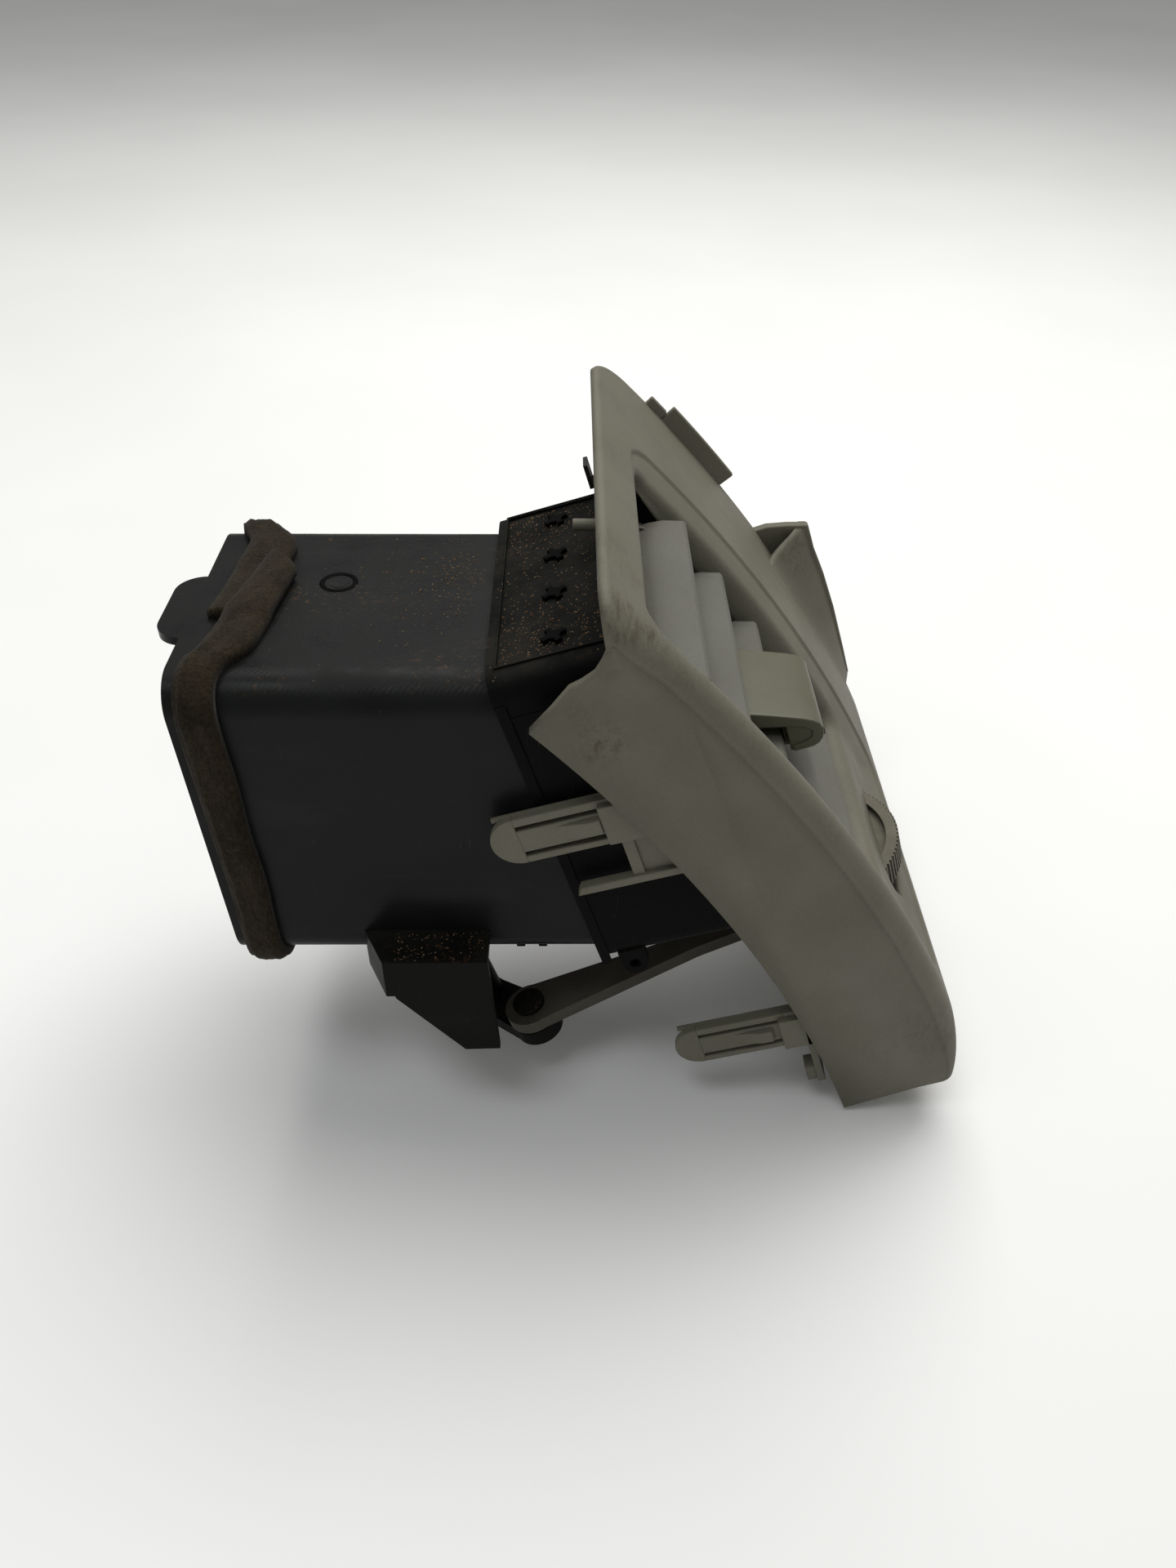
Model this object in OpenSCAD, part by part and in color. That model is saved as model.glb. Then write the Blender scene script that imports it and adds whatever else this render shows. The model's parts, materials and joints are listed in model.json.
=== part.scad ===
// Dashboard end air vent: a rear duct, a tilted vane housing and a curved face panel, with five
// level vanes, four upright vanes behind them, and a twin-blade shut-off damper worked by a
// thumbwheel. X runs along the duct towards the driver, Y across to the far side, Z up.
// The origin is on the duct's centre line, just inside its inlet. Parts of the grille are drawn
// in the housing's own frame, with its X along the tilted air path and its Z square to it.

/* [Duct] */
// Outside width of the rear duct
duct_w = 80; // [78:0.5:80]
// Outside height of the rear duct
duct_h = 88; // [86:0.5:88]
// Outside corner radius of the rear duct
duct_r = 9; // [7:0.5:10]
// Wall thickness of the duct and the vane housing
wall = 2.2; // [2:0.1:2.4]
// Angle of the inlet plane, leaning back at the top
inlet_lean = 2.7; // [1:0.1:4]
// Width of the foam strip around the inlet
foam_w = 9; // [8:0.5:11]
// Thickness of the foam strip
foam_t = 4; // [3:0.5:5]

/* [Vane housing] */
// Upward tilt of the vane housing and its grille
tilt = 17; // [16:0.5:18]
// Outside width of the vane housing
housing_w = 83; // [83:0.25:83.5]
// Outside height of the vane housing
housing_h = 96; // [95.5:0.25:96.5]
// Outside corner radius of the vane housing
housing_r = 7; // [5:0.5:9]

/* [Vanes] */
// Spacing of the level vanes up the grille
level_pitch = 18.5; // [18:0.1:18.6]
// Spacing of the upright vanes across the duct
upright_pitch = 19; // [18.5:0.1:19.2]
// Radius of the vanes' pivot pins
pin_r = 1.5; // [1.3:0.1:1.6]
// Radial clearance of every pin in its hole
fit = 0.05; // [0.03:0.01:0.1]

/* [Knob] */
// Width of the sliding knob
knob_w = 30; // [26:1:32]

/* [Thumbwheel] */
// Radius of the thumbwheel
wheel_r = 25; // [24:0.25:25]
// Number of ribs around the thumbwheel's rim
wheel_ribs = 96; // [48:12:120]

/* [Face panel] */
// Radius of the curved face
face_r = 426; // [425:0.5:427]
// Thickness of the panel's shell
shell = 2.5; // [2:0.1:2.8]
// Width of the grille opening
opening_w = 80; // [79:0.5:80]
// Distance from the near flank to the far edge
panel_w = 145; // [140:1:146]

/* [Hidden] */
$fn = 48;

head_x = 96;
head_z = 5;
back = -16;
inlet_x = -4.2;
foam_x = -1;
half_w = housing_w / 2;
half_h = housing_h / 2;
// the housing's front edge leans back by this much for each millimetre up
lean = 0.33;
front_mid = 36;
catch_up = [20, -20];
// level vanes
vane_mid_b = 31.34;
vane_mid_m = -3.2;
vane_nose = 13;
vane_tail = 9;
vane_t = 2.4;
vane_near = -38.4;
vane_far = 35;
bar_y = 35.4;
bar_t = 2;
bar_w = 4.4;
small_pin = 1;
// a bar's straight sides meet its round ends a little inside their widest point
bar_side = 0.97;
bar_back = 6.5;
// upright vanes
blade_top = 45.3;
blade_back = 9;
blade_front = 8;
blade_t = 1.8;
crank_b = -7;
notch_top = -39.5;
bar_low = -43.4;
bar_high = -41.6;
handle_b = 17;
handle_m = [-14.5, 8.5];
handle_r = 1.2;
// knob
knob_y = -4;
fork_gap = 0.55;
// thumbwheel
wheel_b = 45;
wheel_m = [-67, -59];
axle_r = 2.5;
drive_r = 16;
drive_angle = -28;
drive_pin = 2.5;
slot_half = 17.5;
// control arm
arm_m = [-72, -68];
// the arm's slot takes up the difference between the wheel's arc and the crank's
arm_gap = 0.65;
arm_slot = [[-0.25, 0], [-0.25, 1.25]];
crank_head_r = 4.6;
// damper
damper_b = -59.4;
damper_y = 18.9;
shaft_r = 3;
stub_r = 2;
plate_half = 17.2;
foam_half = 18.2;
plate_m = [-23.3, 49.1];
pad_thick = 1.6;
crank_r = 20;
crank_angle = -39.5;
crank_m = [-78, -73];
tie_r = 12;
tie_angle = 140.5;
tie_m = [-54, -51];
lever_m = [-50, -47];
boss_low = -37;
rib_low = -24.7;
rib_high = 50.5;
// face panel, seen from the side
face_c = [-192, -245];
face_top = 48;
face_low = 27;
chin_r = 70;
corner_r = 4;
corner_end = -69;
flank_c = [-207, -243];
flank_r = 400;
flank_top = 44.8;
flank_low = 21.3;
near_y = -50;
far_y = near_y + panel_w;
open_top = 46.3;
open_low = 31.8;
sill_low = 24.2;
sill_drop = 3;
funnel = 1.8;
rim = 8;
locator_r = 1.5;
locator_x = 86.4;
locator_y = 8;
locator_z = 59.6;
locator_len = 13;
locator_seat_x = 96.8;
locator_seat_r = 2.7;
far_corner_r = 10;
fin_t = 2.3;
fin_h = 5.2;
fin_step_h = 2.6;
clip_y = -46;
clip_t = 2.2;
lower_clip = [24, -88.5];
big = 300;

chin_c = face_c + (face_r - chin_r) * [cos(face_low), sin(face_low)];
corner_c = chin_c + [chin_r - corner_r, 0];
arm_start = [wheel_b, 0] + drive_r * [cos(drive_angle), sin(drive_angle)];
arm_end = [damper_b, -damper_y] + crank_r * [cos(crank_angle), sin(crank_angle)];
tie_step = tie_r * [cos(tie_angle), sin(tie_angle)];

function arc(c, r, a0, a1, n) =
    [for (i = [0:n]) let (a = a0 + (a1 - a0) * i / n) c + r * [cos(a), sin(a)]];
function reverse(v) = [for (i = [len(v) - 1:-1:0]) v[i]];
// the face seen from the side, k inside its outer skin
function face_line(k, start = face_top) = concat(arc(face_c, face_r - k, start, face_low, 20),
    arc(chin_c, chin_r - k, face_low - 5, 0, 5),
    arc(corner_c, corner_r - k, -20, corner_end, 4));
// a strip of the face's shell between two depths and two angles
function band(k0, k1, a0, a1) = concat(arc(face_c, face_r - k0, a0, a1, 10),
    arc(face_c, face_r - k1, a1, a0, 10));
function face_point(k, a) = face_c + (face_r - k) * [cos(a), sin(a)];
function flank_line() = arc(flank_c, flank_r, flank_low, flank_top, 14);
function flank_foot() = flank_c + flank_r * [cos(flank_low), sin(flank_low)];
function front_b(m) = front_mid - lean * m;
function pivot_m(i) = vane_mid_m + level_pitch * (3 - i);
function pivot_b(i) = vane_mid_b - lean * level_pitch * (3 - i);
function upright_y(i) = upright_pitch * (i - 2.5);

module head() {
    translate([head_x, 0, head_z]) rotate([0, -tilt, 0]) children();
}
// an outline drawn in X and Z, made solid from y0 to y1
module along_y(y0, y1) {
    translate([0, y1, 0]) rotate([90, 0, 0]) linear_extrude(y1 - y0) children();
}
// an outline drawn in Y and Z, made solid from x0 to x1
module along_x(x0, x1) {
    translate([x0, 0, 0]) rotate([90, 0, 90]) linear_extrude(x1 - x0) children();
}
// an outline drawn in X and Y, made solid from z0 to z1
module along_z(span) {
    translate([0, 0, span[0]]) linear_extrude(span[1] - span[0]) children();
}
module round_rect(w, h, r) {
    square([w - 2 * r, h], center = true);
    square([w, h - 2 * r], center = true);
    for (sx = [-1, 1], sz = [-1, 1]) translate([sx * (w / 2 - r), sz * (h / 2 - r)]) circle(r);
}
module block(lo, hi) {
    translate(lo) cube(hi - lo);
}
module y_rod(p, r, y0, y1) {
    translate([p[0], y1, p[1]]) rotate([90, 0, 0]) cylinder(r = r, h = y1 - y0);
}
module z_rod(p, r, span) {
    translate([p[0], p[1], span[0]]) cylinder(r = r, h = span[1] - span[0]);
}
// a flat bar between two points, round at both ends, its half widths at the ends given
module bar(p, q, r0, r1, span) {
    u = (q - p) / norm(q - p);
    n = [-u[1], u[0]] * bar_side;
    along_z(span) polygon([p + n * r0, q + n * r1, q - n * r1, p - n * r0]);
    z_rod(p, r0, span);
    z_rod(q, r1, span);
}

// one clip tower on the panel's near side, its plate cut by two slots with a barb between
module clip_tower() {
    head() translate([-29, 0, 5]) {
        difference() {
            along_y(clip_y, clip_y + clip_t) {
                translate([7, 0]) circle(7);
                translate([7, -7]) square([40, 14]);
            }
            along_y(clip_y - 1, clip_y + clip_t + 1) {
                translate([7.3, 3.2]) square([24.5, 1.4]);
                translate([7.3, -5]) square([24.5, 1.4]);
            }
        }
        block([18, clip_y - 1.4, -2], [28, clip_y + 0.1, 2]);
        block([1.5, clip_y + clip_t - 0.1, 5.8], [44, clip_y + clip_t + 0.9, 7]);
        block([1.5, clip_y + clip_t - 0.1, -7], [44, clip_y + clip_t + 0.9, -5.8]);
    }
}

module panel_body() {
    skin = concat(face_line(0), reverse(face_line(shell)));
    difference() {
        union() {
            along_y(near_y, far_y) polygon(skin);
            // near flank
            along_y(near_y, near_y + shell)
                polygon(concat(face_line(0, open_top), flank_line(), [[92.8, 65.6]]));
            // turned-in bottom edge
            along_y(near_y, far_y)
                polygon([corner_c + corner_r * [cos(corner_end), sin(corner_end)],
                    flank_foot(), flank_foot() + [-0.6, 2.2],
                    corner_c + (corner_r - shell) * [cos(corner_end), sin(corner_end)]]);
            // turned-in far edge
            along_y(far_y - shell, far_y)
                polygon(concat(face_line(0), reverse(face_line(rim))));
        }
        // grille opening
        along_y(-opening_w / 2, opening_w / 2)
            polygon(band(-1, shell + 1, open_top, open_low));
        // lowered sill
        along_y(-opening_w / 2, opening_w / 2)
            polygon(band(-1, shell + 1, open_low + 0.2, sill_low));
    }
    // sill, with the slot for the thumbwheel
    difference() {
        along_y(-opening_w / 2 - 1, opening_w / 2 + 1)
            polygon(band(sill_drop, sill_drop + shell, open_low, sill_low));
        head() block([50, -slot_half, wheel_m[0] - 0.8], [80, slot_half, wheel_m[1] + 0.8]);
    }
    for (s = [0, 1]) along_y(s ? opening_w / 2 : -opening_w / 2 - shell,
        s ? opening_w / 2 + shell : -opening_w / 2)
        polygon(band(shell - 0.1, sill_drop + shell, open_low + 0.2, sill_low));
    // step under the sill
    along_y(-opening_w / 2 - 1, opening_w / 2 + 1)
        polygon(band(shell - 0.1, sill_drop + shell, sill_low + 0.1, sill_low - 0.25));
    // funnel from the opening down to the housing
    head() {
        for (s = [-1, 1])
            along_y(s > 0 ? opening_w / 2 : -opening_w / 2 - funnel,
                s > 0 ? opening_w / 2 + funnel : -opening_w / 2)
                polygon([[front_b(half_h - 2), half_h - 2], [front_b(half_h) + 1.5, half_h + 6],
                    [40, 24], [60.5, -36], [62.5, -half_h], [front_b(-half_h + 2), -half_h + 2]]);
        block([front_b(half_h) - 2, -opening_w / 2 - funnel, half_h],
            [front_b(half_h), opening_w / 2 + funnel, half_h + 6.6]);
        along_y(-opening_w / 2 - funnel, opening_w / 2 + funnel)
            polygon([[front_b(-half_h), -half_h - 0.8], [front_b(-half_h + 1.2), -half_h + 1.2],
                [62, -half_h + 0.3], [62, -half_h - 1.9]]);
        // snap tongues over the housing's catches
        for (m = catch_up, s = [-1, 1]) difference() {
            along_y(s > 0 ? half_w + 0.2 : -half_w - 1.8, s > 0 ? half_w + 1.8 : -half_w - 0.2)
                polygon([[front_b(m) - 21, m - 8], [front_b(m) - 21, m + 8],
                    [front_b(m + 8) + 5, m + 8], [front_b(m - 8) + 5, m - 8]]);
            block([front_b(m) - 18.5, s * half_w - 4, m - 5], [front_b(m) - 12, s * half_w + 4, m + 5]);
        }
        for (m = catch_up, s = [-1, 1])
            along_y(s > 0 ? opening_w / 2 + 1 : -half_w - 1, s > 0 ? half_w + 1 : -opening_w / 2 - 1)
                polygon([[front_b(m + 8) + 1, m + 8], [front_b(m + 8) + 5, m + 8],
                    [front_b(m - 8) + 5, m - 8], [front_b(m - 8) + 1, m - 8]]);
    }
    // locating pin behind the top strip, with a flat seat at its root
    translate([locator_seat_x, locator_y, locator_z]) rotate([0, 90, 0])
        cylinder(r = locator_seat_r, h = locator_x + locator_len - locator_seat_x);
    translate([locator_x, locator_y, locator_z]) rotate([0, 90, 0])
        cylinder(r = locator_r, h = locator_len);
    clip_tower();
    translate([lower_clip[0] * cos(tilt) - lower_clip[1] * sin(tilt), 0,
        lower_clip[0] * sin(tilt) + lower_clip[1] * cos(tilt)]) clip_tower();
    // pads joining the towers to the flank, the rib under the upper one, and a post
    head() {
        block([-1, near_y + shell - 0.1, -1], [17, clip_y + 0.1, 11]);
        block([25, near_y + shell - 0.1, -90], [41, clip_y + 0.1, -78]);
        block([-13.6, clip_y, -16.2], [21, clip_y + clip_t, -14.2]);
        block([10, near_y + shell - 0.1, -16.2], [21, clip_y + 0.1, -14.2]);
        block([3, clip_y, -14.3], [5, clip_y + clip_t, -1]);
        block([31.4, near_y + shell - 0.1, -107], [33.6, clip_y + 6, -74]);
    }
    // ear on the far edge
    along_y(far_y - shell, far_y + 1)
        polygon([face_point(1, 36.5), [146, 15.5], [163, 16.5], [166, 8], [170.5, -1.5],
            [175.5, -14], [181, -30], face_point(1, 27.5)]);
    along_y(far_y - 9, far_y - shell + 0.1) polygon([[147, 13.5], [147, 15.5], [163, 16.5], [163, 14]]);
    // fin standing on the far edge, with a lower step at its upper end
    along_y(far_y - fin_t, far_y - 0.3) polygon(band(-fin_h, 1, 44.15, 40.25));
    along_y(far_y - fin_t, far_y - 0.3) polygon(band(-fin_step_h, 1, 45.1, 44.1));
}

// what lies outside the rounded corner at the far end of the top edge
module beyond_far_corner() {
    r = far_corner_r;
    translate([face_c[0], far_y, face_c[1]]) rotate([0, -face_top, 0]) difference() {
        block([face_r - rim - 4, -r, -r], [face_r + 4, 2, 4]);
        translate([0, -r, -r]) rotate([0, 90, 0]) cylinder(r = r, h = big * 2);
    }
}

module face_panel() color([0.62, 0.6, 0.55]) difference() {
    panel_body();
    beyond_far_corner();
    head() {
        // room for the thumbwheel and for the end of its control arm
        z_rod([wheel_b, 0], wheel_r + 0.8, [wheel_m[0] - 0.8, wheel_m[1] + 0.8]);
        z_rod(arm_start, 5, [arm_m[0] - 0.6, arm_m[1] + 0.6]);
    }
}

module vane_housing() color([0.13, 0.15, 0.15]) head() difference() {
    union() {
        difference() {
            along_x(back, front_b(-half_h) + 2) round_rect(housing_w, housing_h, housing_r);
            along_x(back + 1.8, big)
                round_rect(housing_w - 2 * wall, housing_h - 2 * wall, housing_r - wall);
            // way in from the duct
            translate([0, 0, -0.33]) along_x(back - 1, back + 3)
                round_rect(duct_w - 2 * wall, (duct_h - 2 * wall) / cos(tilt) , duct_r - wall);
            // leaning front edge
            along_y(-big, big) polygon([[front_b(60), 60], [front_b(-60), -60], [big, -60],
                [big, 60]]);
            // panel let into the top around the upright vanes' pivots
            block([back + 2.5, -36, half_h - 0.8], [18, 36, half_h + 1]);
        }
        // catches for the panel's tongues
        for (m = catch_up, s = [-1, 1])
            along_z([m - 4.6, m + 4.6])
                polygon([[front_b(m) - 17.8, s * (half_w - 0.1)], [front_b(m) - 12.6, s * (half_w - 0.1)],
                    [front_b(m) - 12.6, s * (half_w + 0.5)], [front_b(m) - 17.8, s * (half_w + 1.6)]]);
        // lug, small tab and the thumbwheel's boss below
        along_y(-half_w, -half_w + 3) {
            translate([-7.5, -half_h - 1.5]) circle(3.6);
            translate([-11.1, -half_h - 1.5]) square([7.2, 5]);
        }
        block([20, -33, -half_h - 8], [26, -30, -half_h + 1]);
        z_rod([wheel_b, 0], 6, [wheel_m[1] + 0.5, -half_h + 1]);
    }
    y_rod([-7.5, -half_h - 1.5], 1.6, -half_w - 1, -half_w + 4);
    z_rod([wheel_b, 0], axle_r, [wheel_m[1], -half_h - 2]);
    for (i = [1:4]) z_rod([0, upright_y(i)], pin_r + fit, [-half_h - 2, half_h + 2]);
    for (i = [1:5]) y_rod([pivot_b(i), pivot_m(i)], pin_r + fit, -half_w - 2, half_w + 2);
}

module duct_region() {
    slope = tan(inlet_lean);
    edge = big / 3;
    along_y(-big, big)
        polygon([[inlet_x - edge * slope, edge], [inlet_x + edge * slope, -edge],
            [head_x + (back + (edge + head_z) * sin(tilt)) / cos(tilt), -edge],
            [head_x + (back - (edge - head_z) * sin(tilt)) / cos(tilt), edge]]);
}

module rear_duct() color([0.1, 0.12, 0.12]) difference() {
    union() {
        intersection() {
            difference() {
                along_x(-20, 110) round_rect(duct_w, duct_h, duct_r);
                along_x(-30, 120) round_rect(duct_w - 2 * wall, duct_h - 2 * wall, duct_r - wall);
            }
            duct_region();
        }
        // tongue at the inlet
        along_z([duct_h / 2 - wall, duct_h / 2]) {
            translate([-6, -19]) square([8, 29]);
            translate([-13, -12]) square([8, 15]);
            translate([-6, -12]) circle(7);
            translate([-6, 3]) circle(7);
        }
        // stop ribs and shaft bosses, kept inside the duct's walls
        intersection() {
            along_x(-20, 110) round_rect(duct_w - 2, duct_h - 2, duct_r - 1);
            head() {
                block([damper_b - 1, -big, rib_high], [damper_b + 1, big, big]);
                block([damper_b - 1, -big, -big], [damper_b + 1, big, rib_low]);
                for (s = [-1, 1]) {
                    z_rod([damper_b, s * damper_y], 4.5, [rib_high, 70]);
                    z_rod([damper_b, s * damper_y], 5.5, [-45, rib_low]);
                }
            }
        }
        head() for (s = [-1, 1]) z_rod([damper_b, s * damper_y], 5.5, [boss_low, -31]);
    }
    head() for (s = [-1, 1]) {
        z_rod([damper_b, s * damper_y], stub_r + fit, [rib_high - 1, 56]);
        z_rod([damper_b, s * damper_y], shaft_r + fit, [-45, rib_low + 1]);
    }
}

module inlet_foam_seal() color([0.25, 0.2, 0.13]) {
    slope = tan(inlet_lean);
    h = duct_h / 2;
    o = h + foam_t;
    side = duct_w / 2 - duct_r;
    intersection() {
        difference() {
            along_x(-20, 40) round_rect(duct_w + 2 * foam_t, duct_h + 2 * foam_t, duct_r + foam_t);
            along_x(-30, 50) round_rect(duct_w, duct_h, duct_r);
            block([-30, -side, h - 1], [50, side, o + 1]);
        }
        along_y(-big, big) polygon([[foam_x - o * slope, o], [foam_x + o * slope, -o],
            [foam_x + foam_w + o * slope, -o], [foam_x + foam_w - o * slope, o]]);
    }
    // the strip crosses the top at a slant
    along_z([h, o]) polygon([[-4.5, -side], [6, -side], [16, side], [5, side]]);
}

module crank_guard() color([0.09, 0.1, 0.1]) {
    w = duct_w / 2;
    difference() {
        union() {
            along_y(-w - 11.6, -w + 8)
                polygon([[37.4, -33], [64.5, -33], [66.5, -67.6], [57, -68], [39.9, -46.8]]);
            // flared rear side
            along_z([-46, -33]) polygon([[31.6, -w + 4], [31.6, -w], [37.5, -w - 11.6], [40, -w - 11.6],
                [40, -w + 4]]);
        }
        along_y(-w - 9.6, -w + 9)
            polygon([[40.6, -35], [70, -35], [70, -72], [59.6, -72], [41.9, -48.2]]);
        along_x(30, 70) round_rect(duct_w, duct_h, duct_r);
    }
}

module wheel_axle_pin() color([0.3, 0.3, 0.3]) head() {
    z_rod([wheel_b, 0], axle_r, [wheel_m[0] - 1, -half_h - 2.5]);
    z_rod([wheel_b, 0], 5, [wheel_m[0] - 2, wheel_m[0] - 0.6]);
}

module top_retainer_clip() color([0.12, 0.12, 0.12]) head()
    translate([front_b(half_h) - 2, 47, half_h + 0.2]) {
        block([-9, -3, -2], [0, 3, -0.8]);
        block([-9, -3, -2], [-7.8, 3, 5]);
        block([-1.2, -3, -2], [0, 3, 5]);
    }

// a level vane, its front edge drooping, about a pivot at its own origin
module level_section() {
    polygon([[-vane_tail, 0.7], [-vane_tail, -0.5], [-3, -vane_t / 2 - 0.3], [3, -vane_t / 2 - 0.3],
        [7, -1.2], [vane_nose - 1.4, -2.8], [vane_nose - 0.3, -2.5], [vane_nose, -1.6],
        [vane_nose - 0.6, -0.7], [7, 1.1], [3, vane_t / 2 + 0.3], [-3, vane_t / 2 + 0.3]]);
}
module level_vane(i) color([0.6, 0.58, 0.53]) head() translate([pivot_b(i), 0, pivot_m(i)]) {
    along_y(vane_near, vane_far) level_section();
    y_rod([0, 0], pin_r, -half_w + 0.2, vane_near + 1);
    y_rod([0, 0], 2.6, -half_w + wall + 0.3, vane_near + 0.5);
    y_rod([0, 0], pin_r, vane_far - 1, half_w - 0.2);
    y_rod([0, 0], 2.6, vane_far - 1, vane_far + 0.2);
    y_rod([-bar_back, 0], 1.6, vane_far - 3, vane_far + 0.2);
    y_rod([-bar_back, 0], small_pin, vane_far - 3, bar_y + bar_t + 0.3);
}
module level_vane_1() level_vane(1);
module level_vane_2() level_vane(2);
module level_vane_3() level_vane(3);
module level_vane_4() level_vane(4);
module level_vane_5() level_vane(5);

module level_vane_link() color([0.2, 0.2, 0.19]) head() difference() {
    translate([0, bar_y + bar_t, 0]) rotate([90, 0, 0]) bar([pivot_b(1) - bar_back, pivot_m(1)],
        [pivot_b(5) - bar_back, pivot_m(5)], bar_w / 2, bar_w / 2, [0, bar_t]);
    for (i = [1:5]) y_rod([pivot_b(i) - bar_back, pivot_m(i)], small_pin + fit, bar_y - 1,
        bar_y + bar_t + 1);
}

// the knob and its parts are drawn about the middle level vane's pivot
module knob_frame() {
    head() translate([pivot_b(3), knob_y, pivot_m(3)]) children();
}
module knob_cap() color([0.5, 0.5, 0.44]) knob_frame() along_y(-knob_w / 2, knob_w / 2)
    polygon([[-1.4, 4.7], [3, 9.4], [5, 9.8], [20, 3.6], [23, 1.4], [23.6, -1.2], [22, -4.2], [19, -5.4],
        [15, -5.6], [15, -3.6], [20, -2.4], [20.8, -0.4], [19, 1.4], [10, 4], [4, 5.2]]);
module knob_carrier() color([0.45, 0.45, 0.4]) knob_frame() {
    h = knob_w / 2 - 3;
    // cheeks that wrap the vane and grip under the cap
    along_y(-h, h) polygon([[-3.4, 2.3], [-3.4, 4], [4, 5.2], [10, 4], [14.6, 2.6], [14.6, -5.4],
        [6, -4.6], [-3.4, -4.6], [-3.4, -2.6], [3, -2.4], [8, -2.6], [13.4, -4.1], [13.4, 0.4],
        [7, 2], [3, 2.4]]);
    // fork that straddles the upright vanes' rod
    translate([0, fork_y(), 0]) {
        for (s = [-1, 1]) along_y(s > 0 ? handle_r + fork_gap : -handle_r - fork_gap - 1.8,
            s > 0 ? handle_r + fork_gap + 1.8 : -handle_r - fork_gap)
            polygon([[-2, 2.4], [-2, 4], [-19.5, 3.2], [-19.5, 1]]);
    }
}
function fork_y() = upright_y(2) - knob_y;
module knob_friction_pad() color([0.15, 0.14, 0.13]) knob_frame()
    block([-2.6, -6, vane_t / 2 + 0.32], [2.6, 6, 2.32]);

module upright_vane(i) color([0.14, 0.15, 0.15]) head() translate([0, upright_y(i), 0]) {
    difference() {
        along_z([-blade_top, blade_top])
            polygon([[-blade_back, -0.5], [-blade_back, 0.5], [-3, blade_t / 2], [3, blade_t / 2],
                [blade_front, 0.4], [blade_front, -0.4], [3, -blade_t / 2], [-3, -blade_t / 2]]);
        block([-blade_back - 1, -3, -blade_top - 1], [crank_b + 3.2, 3, notch_top]);
    }
    z_rod([0, 0], pin_r, [-half_h + 0.1, -blade_top + 1]);
    z_rod([0, 0], pin_r, [blade_top - 1, half_h - 0.9]);
    z_rod([0, 0], 2.2, [blade_top - 2, blade_top + 0.2]);
    z_rod([0, 0], 2.2, [-blade_top - 0.2, -blade_top + 2]);
    z_rod([crank_b, 0], 1.6, [notch_top - 0.6, notch_top + 3]);
    z_rod([crank_b, 0], small_pin, [bar_low - 0.4, notch_top + 1]);
    if (i == 2) {
        z_rod([handle_b, 0], handle_r, [handle_m[0] - 1.2, handle_m[1] + 1.2]);
        for (m = handle_m) block([blade_front - 2, -0.9, m - 1.2], [handle_b, 0.9, m + 1.2]);
    }
}
module upright_vane_1() upright_vane(1);
module upright_vane_2() upright_vane(2);
module upright_vane_3() upright_vane(3);
module upright_vane_4() upright_vane(4);

module upright_vane_link() color([0.2, 0.2, 0.19]) head() difference() {
    bar([crank_b, upright_y(1)], [crank_b, upright_y(4)], 2.2, 2.2, [bar_low, bar_high]);
    for (i = [1:4]) z_rod([crank_b, upright_y(i)], small_pin + fit, [bar_low - 1, bar_high + 1]);
}

module thumbwheel() color([0.5, 0.49, 0.44]) head() translate([wheel_b, 0, 0]) {
    difference() {
        along_z(wheel_m) {
            circle(wheel_r - 0.5, $fn = 96);
            for (i = [1:wheel_ribs]) rotate(i * 360 / wheel_ribs)
                translate([wheel_r - 1, -0.4]) square([1, 0.8]);
        }
        // dished above and below, leaving a web, a hub and a rim
        along_z([wheel_m[1] - 2, wheel_m[1] + 1]) difference() {
            circle(wheel_r - 3.5);
            circle(6.5);
        }
        z_rod([0, 0], axle_r + fit, [wheel_m[0] - 1, wheel_m[1] + 1]);
    }
    z_rod(drive_r * [cos(drive_angle), sin(drive_angle)], drive_pin, [arm_m[0] - 0.6, wheel_m[0] + 1]);
    z_rod(drive_r * [cos(drive_angle), sin(drive_angle)], 2.9, [arm_m[0] - 1.6, arm_m[0] - 0.4]);
}

module control_arm() color([0.55, 0.5, 0.42]) head() {
    knee = arm_start + (arm_end - arm_start) * 0.52;
    difference() {
        union() {
            bar(arm_start, knee, 4.4, 3.2, arm_m);
            bar(knee, arm_end, 3.2, 7.4, arm_m);
        }
        z_rod(arm_start, drive_pin + fit, [arm_m[0] - 1, arm_m[1] + 1]);
        bar(arm_end + arm_slot[0], arm_end + arm_slot[1], drive_pin + arm_gap, drive_pin + arm_gap,
            [arm_m[0] - 1, arm_m[1] + 1]);
    }
}

module near_crank() color([0.1, 0.11, 0.11]) head() translate([damper_b, -damper_y, 0]) {
    tip = crank_r * [cos(crank_angle), sin(crank_angle)];
    difference() {
        union() {
            z_rod([0, 0], 5, [crank_m[0], boss_low - 0.4]);
            bar([0, 0], tip, 6, 7, crank_m);
            bar([0, 0], tie_step, 4, 3.6, lever_m);
        }
        z_rod([0, 0], shaft_r, [crank_m[0] - 1, boss_low + 1]);
    }
    z_rod(tip, drive_pin, [crank_m[1] - 1, arm_m[1] + 0.6]);
    z_rod(tip, crank_head_r, [arm_m[1] + 0.5, arm_m[1] + 1.7]);
    z_rod(tie_step, small_pin + 0.5, [tie_m[0] - 0.6, lever_m[0] + 1]);
}

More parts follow.
